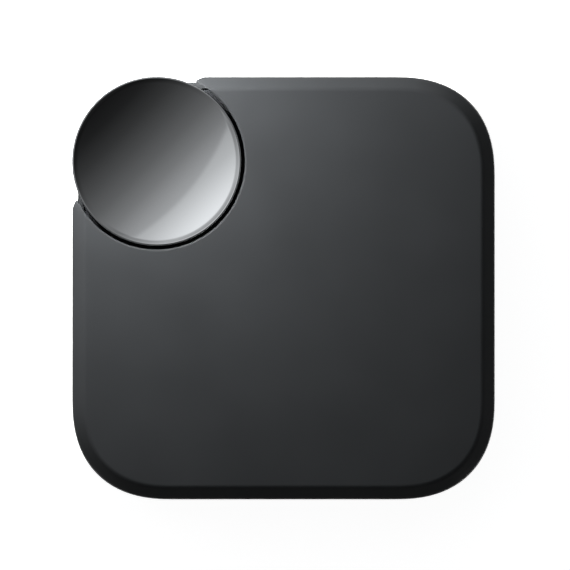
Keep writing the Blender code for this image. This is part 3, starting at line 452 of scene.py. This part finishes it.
def dial_cap():
    """A shallow spherical dish, steeper near its edge, inside a thin rim; the cap's foot sits in the knob."""
    low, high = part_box("dial_cap")
    top, split = high.z, 20.9 * MM
    dish_r, dish_slope, brink_r, brink_slope, rim = 11.05 * MM, 0.205, 11.80 * MM, 0.30, 0.20 * MM
    profile = [(0, split), (9.6 * MM, split), (9.6 * MM, 20.1 * MM), (10.8 * MM, 20.1 * MM),
               (10.8 * MM, split), (DIAL_R - 0.15 * MM, split), (DIAL_R, split + 0.15 * MM)]
    for i in range(9):
        angle = math.radians(90 * i / 8)
        profile.append((DIAL_R - rim + rim * math.cos(angle), top - rim + rim * math.sin(angle)))
    z = top
    for i in range(1, 7):
        share = i / 6
        slope = brink_slope + (dish_slope - brink_slope) * share
        z -= slope * (brink_r - dish_r) / 6
        profile.append((brink_r + (dish_r - brink_r) * share, z))
    for i in range(1, 41):
        share = 1 - i / 40
        profile.append((dish_r * share, z - dish_slope * dish_r / 2 * (1 - share ** 2)))
    bm = bmesh.new()
    add_turned(bm, profile, (DIAL_X, DIAL_Y, 0), "Z", 192)
    return to_object("dial_cap_skin", bm, 50)


def dial_knob():
    """The skirt, with fine grip flutes cut into its outside."""
    hub_z, web_z, rim_z, foot = 18.5 * MM, 19.8 * MM, 20.7 * MM, 13.0 * MM
    inner, seat, bore = 10.7 * MM, 11.2 * MM, 2.0 * MM
    profile = [
        (bore, hub_z), (4.5 * MM, hub_z), (inner - 0.8 * MM, hub_z + 0.3 * MM),
        (inner, hub_z - 0.5 * MM), (inner, foot), (DIAL_R - 0.5 * MM, foot),
        (DIAL_R - 0.2 * MM, foot + 0.25 * MM), (DIAL_R, foot + 0.5 * MM), (DIAL_R, foot + 1.0 * MM),
        (DIAL_R, rim_z - 0.8 * MM), (DIAL_R, rim_z - 0.4 * MM), (DIAL_R - 0.1 * MM, rim_z),
        (seat, rim_z), (seat, web_z), (bore, web_z),
    ]
    flutes, per_flute = 90, 6
    segments = flutes * per_flute
    bm = bmesh.new()
    add_turned(bm, profile, (DIAL_X, DIAL_Y, 0), "Z", segments)
    for vert in bm.verts:
        away = Vector((vert.co.x - DIAL_X, vert.co.y - DIAL_Y))
        if away.length < DIAL_R - 0.03 * MM or not foot + 0.9 * MM < vert.co.z < rim_z - 0.7 * MM:
            continue
        wave = 0.5 + 0.5 * math.cos(math.atan2(away.y, away.x) * flutes)
        away *= (away.length - 0.22 * MM * wave) / away.length
        vert.co.x, vert.co.y = DIAL_X + away.x, DIAL_Y + away.y
    return to_object("dial_knob_skin", bm, 50)


# ---------------------------------------------------------------- inner mouldings


def even_normals(obj, angle):
    """Smooth shading that keeps large flat faces flat."""
    obj.data.shade_smooth()
    obj.data.set_sharp_from_angle(angle=math.radians(angle))
    weighted = obj.modifiers.new("weighted", "WEIGHTED_NORMAL")
    weighted.keep_sharp, weighted.weight = True, 100
    bake(obj)


def mirrored_tool(name, bm, mirrored):
    """A tool for the left pocket, or its mirror image in the diagonal for the right one."""
    if mirrored:
        flip = Matrix(((0, -1, 0, 0), (-1, 0, 0, 0), (0, 0, 1, 0), (0, 0, 0, 1)))
        bmesh.ops.transform(bm, matrix=flip, verts=bm.verts)
    return to_object(name, bm)


def pocket_shapes(grow, well_top):
    """The head's ellipsoid, the stem's trough and, given a top, the deep well for the ear tip."""
    head = bmesh.new()
    add_ellipsoid(head, HEAD, [axis + grow for axis in HEAD_AXES], 96, 60)
    stem = bmesh.new()
    radius, end = STEM_R + grow, STEM_END - STEM_R
    profile = [(0, HEAD[0]), (radius, HEAD[0]), (radius, end)]
    for i in range(1, 13):
        angle = math.radians(90 * i / 12)
        profile.append((radius * math.cos(angle) if i < 12 else 0, end + radius * math.sin(angle)))
    add_turned(stem, profile, (0, STEM_Y, STEM_Z), "X", 72)
    shapes = [head, stem]
    if well_top:
        well = bmesh.new()
        radius, floor = TIP_R + grow, TIP_FLOOR - grow
        profile = [(0, floor), (radius - TIP_BEND, floor)]
        for i in range(1, 11):
            angle = math.radians(90 * i / 10)
            profile.append((radius - TIP_BEND + TIP_BEND * math.sin(angle),
                            floor + TIP_BEND * (1 - math.cos(angle))))
        profile += [(radius, well_top), (0, well_top)]
        add_turned(well, profile, (TIP_X, TIP_Y, 0), "Z", 96)
        shapes.append(well)
    return shapes


def head_outline(z, grow):
    share = math.sqrt(1 - ((z - HEAD[2]) / HEAD_AXES[2]) ** 2)
    a, b = HEAD_AXES[0] * share + grow, HEAD_AXES[1] * share + grow
    return [(HEAD[0] + a * math.cos(math.pi * i / 48), HEAD[1] + b * math.sin(math.pi * i / 48), z)
            for i in range(96)]


def stem_outline(z, grow):
    half = math.sqrt(STEM_R ** 2 - (z - STEM_Z) ** 2) + grow
    end = STEM_END - STEM_R
    tip = [(end + half * math.cos(math.radians(a)), STEM_Y + half * math.sin(math.radians(a)), z)
           for a in range(-90, 91, 6)]
    return [*tip, (HEAD[0], STEM_Y + half, z), (HEAD[0], STEM_Y - half, z)]


def well_outline(z, grow):
    radius = TIP_R + grow
    return [(TIP_X + radius * math.cos(math.pi * i / 48), TIP_Y + radius * math.sin(math.pi * i / 48), z)
            for i in range(96)]


def lip_shape(outline, face_z, up):
    """Widens a mouth in a quarter round that ends flush with the face; up is 1 or -1."""
    rings = [outline(face_z - up * 1.3 * LIP, -0.08 * MM)]
    for i in range(7):
        angle = math.radians(90 * i / 6)
        rings.append(outline(face_z - up * LIP * (1 - math.sin(angle)), LIP * (1 - math.cos(angle))))
    rings = [[(x, y, ring[0][2]) for x, y, _ in ring] for ring in rings]
    rings.append([(x, y, face_z + up * 0.6 * MM) for x, y, _ in rings[-1]])
    bm = bmesh.new()
    add_rings(bm, rings)
    return bm


def cut_mouths(target, outlines, face_z, up):
    for mirrored in (False, True):
        for outline in outlines:
            apply_boolean(target, mirrored_tool("lip_tool", lip_shape(outline, face_z, up), mirrored))


def cradle():
    """The base's inner moulding: a plate, two earbud pockets and the dial's guide tube."""
    inset = BASE_WALL + FIT
    bm = bmesh.new()
    add_rings(bm, [base_ring(inset, CRADLE_LOW), base_ring(inset, CRADLE_TOP - 0.1 * MM),
                   base_ring(inset + 0.1 * MM, CRADLE_TOP)])
    plate = to_object("base_cradle_skin", bm)
    for mirrored in (False, True):
        for shape in pocket_shapes(SKIN, CRADLE_TOP - 0.5 * MM):
            wall = mirrored_tool("wall_tool", shape, mirrored)
            with_box(wall, (-HALF, -HALF, CRADLE_TOP - BURIED), (HALF, HALF, HEIGHT))
            apply_boolean(plate, wall, "UNION")
    tube = bmesh.new()
    profile = [(0, GUIDE_LOW), (GUIDE_OUT, GUIDE_LOW), (GUIDE_OUT, GUIDE_TOP - 0.25 * MM),
               (GUIDE_OUT - 0.25 * MM, GUIDE_TOP), (0, GUIDE_TOP)]
    add_turned(tube, profile, (DIAL_X, DIAL_Y, 0), "Z", 96)
    apply_boolean(plate, to_object("tube_tool", tube), "UNION")
    for mirrored in (False, True):
        for shape in pocket_shapes(0, SEAM_HIGH + 1 * MM):
            apply_boolean(plate, mirrored_tool("hollow_tool", shape, mirrored))
    cut_mouths(plate, (head_outline, stem_outline, well_outline), CRADLE_TOP, 1)
    holes = [(GUIDE_IN, DIAL_X, DIAL_Y, 8 * MM, 18 * MM), (LIGHT_HOLE, LIGHT_X, LIGHT_Y, 8 * MM, 14 * MM)]
    holes += [(PIN_HOLE, x, STEM_Y, 8 * MM, 10 * MM) for x in PIN_XS]
    holes += [(PIN_HOLE, -STEM_Y, -x, 8 * MM, 10 * MM) for x in PIN_XS]
    for radius, x, y, low, high in holes:
        cut_rod(plate, radius, low, high, (x, y, 0), "Z", 64)
    with_box(plate, (DIAL_X - KEY_WIDTH / 2, DIAL_Y, 8 * MM),
             (DIAL_X + KEY_WIDTH / 2, DIAL_Y + 4.9 * MM, 18 * MM))
    with_box(plate, (-RIDGE_END, -HALF, 10 * MM), (RIDGE_END, HINGE_Y + 1.7 * MM, 14 * MM))
    even_normals(plate, 32)
    return plate


def liner():
    """The lid's inner moulding, hollowed over the tops of the earbuds."""
    inset = LID_WALL + FIT

    def ring(extra, z):
        return lid_ring(inset + extra, notch_radius(z) + inset + extra, z)

    bm = bmesh.new()
    add_rings(bm, [ring(0.1 * MM, LINER_LOW), ring(0, LINER_LOW + 0.1 * MM), ring(0, LINER_TOP)])
    plate = to_object("lid_liner_skin", bm)
    for mirrored in (False, True):
        for shape in pocket_shapes(SKIN, None):
            roof = mirrored_tool("roof_tool", shape, mirrored)
            with_box(roof, (-HALF, -HALF, 0), (HALF, HALF, LINER_LOW + BURIED))
            apply_boolean(plate, roof, "UNION")
    for mirrored in (False, True):
        for shape in pocket_shapes(0, None):
            apply_boolean(plate, mirrored_tool("recess_tool", shape, mirrored))
    cut_mouths(plate, (head_outline, stem_outline), LINER_LOW, -1)
    cut_rod(plate, SWING_R + 0.3 * MM, -SWING_END, SWING_END, (0, HINGE_Y, HINGE_Z), "X")
    with_box(plate, (-LEAF_SLOT, -HALF, 12 * MM), (LEAF_SLOT, HINGE_Y + 2.2 * MM, 15 * MM))
    even_normals(plate, 32)
    return plate


def coil():
    """The hinge's torsion spring, with a straight leg at each end."""
    mean, wire, half, turns, steps = 1.1 * MM, 0.20 * MM, 3.25 * MM, 8, 28
    path = []
    for i in range(turns * steps + 1):
        angle = 2 * math.pi * i / steps
        path.append(Vector((-half + 2 * half * i / (turns * steps),
                            HINGE_Y + mean * math.cos(angle), HINGE_Z + mean * math.sin(angle))))
    leg = Vector((0, 0, -1.5 * MM))
    path = [path[0] + leg * share for share in (1, 0.7, 0.4, 0.1)] + path
    path += [path[-1] + leg * share for share in (0.1, 0.4, 0.7, 1)]
    rings = []
    for i, here in enumerate(path):
        along = (path[min(i + 1, len(path) - 1)] - path[max(i - 1, 0)]).normalized()
        side = Vector((1, 0, 0))
        side = (side - along * side.dot(along)).normalized()
        other = along.cross(side)
        rings.append([here + wire * (side * math.cos(math.pi * k / 6) + other * math.sin(math.pi * k / 6))
                      for k in range(12)])
    bm = bmesh.new()
    add_rings(bm, rings)
    return to_object("hinge_spring_skin", bm, 60)


def hinge_leaf(name, knuckles, strip, tabs, foot, screw_xs):
    """A sheet-metal leaf: a strip, two rolled knuckles on tabs, and two feet with screw holes."""
    near, far, half = HINGE_Y + 0.2 * MM, HINGE_Y + 1.0 * MM, knuckles[1]
    bm = bmesh.new()
    add_box(bm, (-half, near, strip[0]), (half, far, strip[1]))
    leaf = to_object(name, bm)
    boxes = []
    for sign in (-1, 1):
        start, end = sorted((sign * knuckles[0], sign * knuckles[1]))
        boxes.append(((start, near, tabs[0]), (end, far, tabs[1])))
        barrel = bmesh.new()
        add_rod(barrel, KNUCKLE_R, start, end, (0, HINGE_Y, HINGE_Z), "X", 72)
        apply_boolean(leaf, to_object("barrel_tool", barrel), "UNION")
    boxes += [((x - 2.0 * MM, near, foot[0]), (x + 2.0 * MM, HINGE_Y + 4.6 * MM, foot[1])) for x in screw_xs]
    for low, high in boxes:
        with_box(leaf, low, high, "UNION")
    cut_rod(leaf, KNUCKLE_BORE, -15 * MM, 15 * MM, (0, HINGE_Y, HINGE_Z), "X", 48)
    for x in screw_xs:
        cut_rod(leaf, 0.9 * MM, foot[0] - 1 * MM, foot[1] + 1 * MM, (x, HINGE_Y + 3.0 * MM, 0), "Z", 48)
    soften(leaf, 0.07 * MM, 40, 2)
    return leaf


def turned_skin(name, profile, x, y, segments=48):
    bm = bmesh.new()
    add_turned(bm, [(r * MM, z * MM) for r, z in profile], (x, y, 0), "Z", segments)
    return to_object(name, bm, 35)


def dome(radius, foot, top, steps=8):
    """The (radius, height) points of a rounded end, in millimetres."""
    return [(radius * math.cos(math.pi / 2 * i / steps) if i < steps else 0,
             foot + (top - foot) * math.sin(math.pi / 2 * i / steps)) for i in range(steps + 1)]


def charging_pin(name, x, y):
    return turned_skin(name, [(0, 8.3), (0.46, 8.3), *dome(0.46, 9.6, 10.1)], x, y)


def pin_barrel(name, x, y):
    return turned_skin(name, [(0, 7.4), (0.70, 7.4), (0.75, 7.45), (0.75, 9.14), (0.70, 9.2), (0.61, 9.2),
                              (0.57, 9.14), (0.57, 7.6), (0, 7.6)], x, y)


def light_pipe():
    return turned_skin("status_light_pipe_skin", [(0, 4.4), (1.0, 4.4), *dome(1.0, 12.0, 12.18)],
                       LIGHT_X, LIGHT_Y)


def socket_pads():
    """Twelve gold contacts on each face of the charging socket's tongue."""
    bm = bmesh.new()
    for i in range(12):
        y = SOCKET_Y + (i - 5.5) * 0.5 * MM
        for low, high in ((SOCKET_Z + 0.34 * MM, SOCKET_Z + 0.38 * MM),
                          (SOCKET_Z - 0.38 * MM, SOCKET_Z - 0.34 * MM)):
            add_box(bm, (-28.6 * MM, y - 0.13 * MM, low), (-25.2 * MM, y + 0.13 * MM, high))
    return to_object("usb_socket_pads", bm)


# ---------------------------------------------------------------- materials


def new_material(name, colour, roughness, metallic=0.0, specular=0.5):
    made = bpy.data.materials.new(name)
    made.use_nodes = True
    shader = made.node_tree.nodes["Principled BSDF"]
    shader.inputs["Base Color"].default_value = (*colour, 1.0)
    shader.inputs["Roughness"].default_value = roughness
    shader.inputs["Metallic"].default_value = metallic
    shader.inputs["Specular IOR Level"].default_value = specular
    return made, shader


def noise(tree, scale, detail):
    """Object-space noise; the scale is in features for each metre."""
    coords = tree.nodes.new("ShaderNodeTexCoord")
    texture = tree.nodes.new("ShaderNodeTexNoise")
    texture.inputs["Scale"].default_value = scale
    texture.inputs["Detail"].default_value = detail
    tree.links.new(coords.outputs["Object"], texture.inputs["Vector"])
    return texture.outputs["Fac"]


def spread(tree, value, low, high):
    """Maps a noise value on to a range."""
    node = tree.nodes.new("ShaderNodeMapRange")
    node.inputs["From Min"].default_value = 0.3
    node.inputs["From Max"].default_value = 0.7
    node.inputs["To Min"].default_value = low
    node.inputs["To Max"].default_value = high
    tree.links.new(value, node.inputs["Value"])
    return node.outputs["Result"]


def add_bump(tree, shader, height, distance):
    bump = tree.nodes.new("ShaderNodeBump")
    bump.inputs["Distance"].default_value = distance
    bump.inputs["Strength"].default_value = 1.0
    tree.links.new(height, bump.inputs["Height"])
    tree.links.new(bump.outputs["Normal"], shader.inputs["Normal"])


def vary_colour(tree, shader, value, dark, light):
    mix = tree.nodes.new("ShaderNodeMix")
    mix.data_type = "RGBA"
    mix.inputs["A"].default_value = (*dark, 1.0)
    mix.inputs["B"].default_value = (*light, 1.0)
    tree.links.new(value, mix.inputs["Factor"])
    tree.links.new(mix.outputs["Result"], shader.inputs["Base Color"])


def moulded_plastic(name, colour, roughness, grain, depth, specular=0.5):
    """Spark-eroded matte plastic: a fine even grain with a slow drift in tone and gloss."""
    made, shader = new_material(name, colour, roughness, 0.0, specular)
    tree = made.node_tree
    drift = spread(tree, noise(tree, 90, 2), 0.0, 1.0)
    vary_colour(tree, shader, drift, [c * 0.94 for c in colour], [c * 1.06 for c in colour])
    fine = noise(tree, grain, 4)
    tree.links.new(spread(tree, fine, roughness - 0.03, roughness + 0.03), shader.inputs["Roughness"])
    add_bump(tree, shader, fine, depth)
    return made


def turned_metal(name, colour, roughness, grain=9000, depth=0.000002):
    made, shader = new_material(name, colour, roughness, 1.0)
    tree = made.node_tree
    fine = noise(tree, grain, 4)
    tree.links.new(spread(tree, fine, roughness * 0.8, roughness * 1.25), shader.inputs["Roughness"])
    add_bump(tree, shader, fine, depth)
    return made


def make_materials():
    return {
        "shell_plastic": moulded_plastic("shell_plastic_look", (0.0190, 0.0201, 0.0212), 0.50,
                                         9000, 0.000005, 0.28),
        "liner_plastic": moulded_plastic("liner_plastic_look", (0.020, 0.021, 0.023), 0.40, 4200, 0.000008),
        "dial_gloss": turned_metal("dial_gloss_look", (0.80, 0.805, 0.812), 0.05, 12000, 0.0000002),
        "dial_metal": turned_metal("dial_metal_look", (0.055, 0.056, 0.060), 0.32),
        "steel": turned_metal("steel_look", (0.56, 0.56, 0.57), 0.30),
        "gold": turned_metal("gold_look", (0.95, 0.66, 0.26), 0.22),
        "board": moulded_plastic("board_look", (0.010, 0.075, 0.040), 0.35, 2400, 0.000006),
        "chip": moulded_plastic("chip_look", (0.016, 0.016, 0.018), 0.45, 6000, 0.000006),
        "battery_wrap": turned_metal("battery_wrap_look", (0.50, 0.52, 0.55), 0.38, 1800, 0.00002),
        "magnet": turned_metal("magnet_look", (0.60, 0.60, 0.62), 0.22),
        "nylon": moulded_plastic("nylon_look", (0.62, 0.61, 0.57), 0.45, 3800, 0.000006),
        "flex": moulded_plastic("flex_look", (0.38, 0.15, 0.035), 0.35, 2600, 0.000004),
        "lead_red": moulded_plastic("lead_red_look", (0.42, 0.020, 0.015), 0.42, 3600, 0.000004),
        "lead_black": moulded_plastic("lead_black_look", (0.012, 0.012, 0.013), 0.42, 3600, 0.000004),
        "light_pipe": moulded_plastic("light_pipe_look", (0.78, 0.80, 0.83), 0.25, 3600, 0.000003),
    }


def dress_frame(looks):
    """The CAD nodes that stay visible get the look of their record slot, and smooth shading."""
    for part in frame["record"]["subparts"]:
        node = frame["nodes"][part["node"]]
        node.data.materials.clear()
        node.data.materials.append(looks[part["material_slot"]])
        node.data.shade_smooth()
        node.data.set_sharp_from_angle(angle=math.radians(32))


# ---------------------------------------------------------------- stage


def make_floor():
    bm = bmesh.new()
    size = 6.0
    add_box(bm, (-size, -size, -0.01), (size, size, 0))
    floor = to_object("floor", bm)
    made, shader = new_material("floor_look", (0.5, 0.5, 0.5), 0.9, 0.0, 0.0)
    shader.inputs["Emission Color"].default_value = (1, 1, 1, 1)
    shader.inputs["Emission Strength"].default_value = 0.93
    floor.data.materials.append(made)
    floor.visible_glossy = False
    return floor


def ramp_node(tree, value, stops):
    """A smooth curve through (input, output) pairs, for a value between -1 and 1."""
    shift = tree.nodes.new("ShaderNodeMapRange")
    shift.inputs["From Min"].default_value, shift.inputs["From Max"].default_value = -1, 1
    tree.links.new(value, shift.inputs["Value"])
    ramp = tree.nodes.new("ShaderNodeValToRGB")
    tree.links.new(shift.outputs["Result"], ramp.inputs["Fac"])
    points = ramp.color_ramp.elements
    while len(points) > 1:
        points.remove(points[-1])
    for i, (place, level) in enumerate(stops):
        point = points[0] if i == 0 else points.new((place + 1) / 2)
        point.position = (place + 1) / 2
        point.color = (level, level, level, 1)
    return ramp.outputs["Color"]


def lean(tree, x, y, z):
    """How far a direction of the sky leans towards (x, y, z)."""
    coords = tree.nodes.new("ShaderNodeTexCoord")
    dot = tree.nodes.new("ShaderNodeVectorMath")
    dot.operation = "DOT_PRODUCT"
    tree.links.new(coords.outputs["Generated"], dot.inputs[0])
    dot.inputs[1].default_value = (x, y, z)
    return dot.outputs["Value"]


def eased(tree, value, start, end, first, last):
    """Goes smoothly from first to last as the value goes from start to end."""
    node = tree.nodes.new("ShaderNodeMapRange")
    node.interpolation_type = "SMOOTHSTEP"
    node.inputs["From Min"].default_value, node.inputs["From Max"].default_value = start, end
    node.inputs["To Min"].default_value, node.inputs["To Max"].default_value = first, last
    tree.links.new(value, node.inputs["Value"])
    return node.outputs["Result"]


def combined(tree, operation, *values):
    node = tree.nodes.new("ShaderNodeMath")
    node.operation = operation
    for value, socket in zip(values, node.inputs):
        if isinstance(value, float):
            socket.default_value = value
        else:
            tree.links.new(value, socket)
    return node.outputs["Value"]


def distance_from(tree, x, y):
    """How far a direction of the sky, seen from above, is from the point (x, y)."""
    coords = tree.nodes.new("ShaderNodeTexCoord")
    flat = tree.nodes.new("ShaderNodeVectorMath")
    flat.operation = "MULTIPLY"
    flat.inputs[1].default_value = (1, 1, 0)
    tree.links.new(coords.outputs["Generated"], flat.inputs[0])
    away = tree.nodes.new("ShaderNodeVectorMath")
    away.operation = "DISTANCE"
    away.inputs[1].default_value = (x, y, 0)
    tree.links.new(flat.outputs["Vector"], away.inputs[0])
    return away.outputs["Value"]


def make_world():
    """A dim studio. Overhead is a graded panel, dark at the front right and bright at the back left,
    a step brighter beyond one curved edge and dimmer round its rim; the walls are darker, and
    darkest at the front."""
    world = bpy.data.worlds.new("studio")
    bpy.context.scene.world = world
    world.use_nodes = True
    tree = world.node_tree
    background = tree.nodes["Background"]
    to_back_left = lean(tree, -0.7071, 0.7071, 0)
    graded = ramp_node(tree, to_back_left, (
        (-0.55, 0.022), (-0.4, 0.008), (-0.3, 0.016), (-0.2, 0.041), (-0.1, 0.083), (0.0, 0.138),
        (0.1, 0.23), (0.2, 0.385), (0.25, 0.455), (0.3, 0.595), (0.4, 0.89), (0.6, 0.53)))
    step = eased(tree, distance_from(tree, 0.618, -0.512), 1.030, 1.056, 0.0, 0.125)
    rim = eased(tree, distance_from(tree, 0, 0), 0.400, 0.455, 0.0, 0.5)
    rim_lit = eased(tree, to_back_left, 0.03, 0.20, 0.0, 1.0)
    dimmed = combined(tree, "SUBTRACT", 1.0, combined(tree, "MULTIPLY", rim, rim_lit))
    panel = combined(tree, "MULTIPLY", combined(tree, "ADD", graded, step), dimmed)
    walls = ramp_node(tree, lean(tree, -0.24, 0.97, 0), (
        (-1.0, 0.04), (-0.3, 0.12), (0.0, 0.15), (0.3, 0.22), (1.0, 0.42)))
    total = tree.nodes.new("ShaderNodeMix")
    total.data_type = "FLOAT"
    overhead = ramp_node(tree, lean(tree, 0, 0, 1), ((0.70, 0.0), (0.84, 1.0)))
    tree.links.new(overhead, total.inputs["Factor"])
    tree.links.new(walls, total.inputs["A"])
    tree.links.new(panel, total.inputs["B"])
    tree.links.new(total.outputs["Result"], background.inputs["Strength"])
    background.inputs["Color"].default_value = (0.955, 0.98, 1.0, 1)


def area_light(name, place, target, size, power, lit):
    """A rectangular light that shines only on the lit collection."""
    data = bpy.data.lights.new(name, "AREA")
    data.shape = "RECTANGLE"
    data.size, data.size_y = size
    data.energy = power
    light = link(name, data)
    light.location = place
    aim = Vector(target) - Vector(place)
    light.rotation_mode = "QUATERNION"
    light.rotation_quaternion = aim.to_track_quat("-Z", "Y")
    light.visible_camera = False
    light.light_linking.receiver_collection = lit


def light_group(name, members):
    group = bpy.data.collections.new(name)
    for obj in members:
        group.objects.link(obj)
    return group


def make_lights(cap, shells, floor):
    """A soft lamp close above the dial's corner with low softboxes beside and behind it, which spare
    the polished cap; soft fill for the inner pieces; and a glow from the floor on to the side walls."""
    meshes = [obj for obj in bpy.data.objects if obj.type == "MESH"]
    all_but_cap = light_group("all_but_cap", [obj for obj in meshes if obj != cap])
    workings = light_group("workings", [obj for obj in meshes if obj not in (cap, floor, *shells)])
    walls = light_group("walls", shells)

    data = bpy.data.lights.new("key_lamp", "POINT")
    data.shadow_soft_size = 0.016
    data.energy = 0.95
    key = link("key_lamp", data)
    key.location = (-0.036, 0.048, HEIGHT + 0.027)
    key.visible_camera = False
    key.visible_glossy = False
    key.light_linking.receiver_collection = all_but_cap
    for name, place, size, power in (
            ("back_softbox", (-0.02, 0.22, 0.050), (0.26, 0.08), 0.025),
            ("side_softbox", (-0.12, 0.03, 0.050), (0.05, 0.05), 0.010)):
        area_light(name, place, (0, 0, 0.02), size, power, all_but_cap)
    for name, place, power in (
            ("front_fill", (0.10, -0.20, 0.15), 0.9),
            ("left_fill", (-0.20, -0.05, 0.16), 0.5),
            ("back_fill", (0.08, 0.20, 0.17), 0.7)):
        area_light(name, place, (0, 0, 0.012), (0.16, 0.10), power, workings)
    reach = HALF + 14 * MM
    for name, x, y in (("glow_front", 0, -1), ("glow_right", 1, 0),
                       ("glow_back", 0, 1), ("glow_left", -1, 0)):
        area_light(name, (x * reach, y * reach, 0.002), (x * HALF, y * HALF, 0.011),
                   (0.10, 0.004), 0.0075, walls)


VIEW_WIDTH = 80.947 * MM     # what the picture spans at the case's widest height
VIEW_X, VIEW_Y = 0.213 * MM, 0.447 * MM


def make_camera():
    """A long lens straight above the case."""
    data = bpy.data.cameras.new("camera")
    data.lens = 600
    data.sensor_width = 36
    camera = link("camera", data)
    distance = VIEW_WIDTH * data.lens / data.sensor_width
    camera.location = (VIEW_X, VIEW_Y, HEIGHT - EDGE_R + distance)
    camera.rotation_euler = (0, 0, 0)
    data.clip_start, data.clip_end = 0.01, 50
    bpy.context.scene.camera = camera


# ---------------------------------------------------------------- everything


def main():
    looks = make_materials()
    dress_frame(looks)
    lid = piece(lid_shell(), "lid", "shell_plastic", looks["shell_plastic"], "lid_shell")
    base = piece(base_shell(), "base", "shell_plastic", looks["shell_plastic"], "base_shell")
    cap = piece(dial_cap(), "dial", "dial_gloss", looks["dial_gloss"], "dial_cap")
    piece(dial_knob(), "dial", "dial_metal", looks["dial_metal"], "dial_knob")
    piece(cradle(), "base", "liner_plastic", looks["liner_plastic"], "base_cradle")
    piece(liner(), "lid", "liner_plastic", looks["liner_plastic"], "lid_liner")
    piece(coil(), "base", "steel", looks["steel"], "hinge_spring")
    base_leaf = hinge_leaf("hinge_base_leaf_skin", (8.2 * MM, 13.0 * MM), (3.8 * MM, GROOVE_Z),
                           (GROOVE_Z - 1 * MM, HINGE_Z), (3.8 * MM, 4.6 * MM), (-9.5 * MM, 9.5 * MM))
    piece(base_leaf, "base", "steel", looks["steel"], "hinge_base_leaf")
    lid_leaf = hinge_leaf("hinge_lid_leaf_skin", (4.0 * MM, 7.9 * MM), (HINGE_Z + 2.0 * MM, 19.0 * MM),
                          (HINGE_Z, HINGE_Z + 3.0 * MM), (18.2 * MM, 19.0 * MM), (-5.5 * MM, 5.5 * MM))
    piece(lid_leaf, "lid", "steel", looks["steel"], "hinge_lid_leaf")
    for number, along in enumerate(PIN_XS, 1):
        for side, x, y in (("left", along, STEM_Y), ("right", -STEM_Y, -along)):
            tag = f"{side}_charging_pin_{number}"
            piece(charging_pin(f"{tag}_skin", x, y), f"{side}_pin_{number}", "gold", looks["gold"], tag)
            tag = f"{side}_pin_barrel_{number}"
            piece(pin_barrel(f"{tag}_skin", x, y), "base", "gold", looks["gold"], tag)
    piece(light_pipe(), "base", "light_pipe", looks["light_pipe"], "status_light_pipe")
    piece(socket_pads(), "base", "gold", looks["gold"])
    floor = make_floor()
    make_world()
    make_lights(cap, (lid, base), floor)
    make_camera()
    scene = bpy.context.scene
    scene.view_settings.view_transform = "Standard"
    scene.view_settings.look = "None"


main()
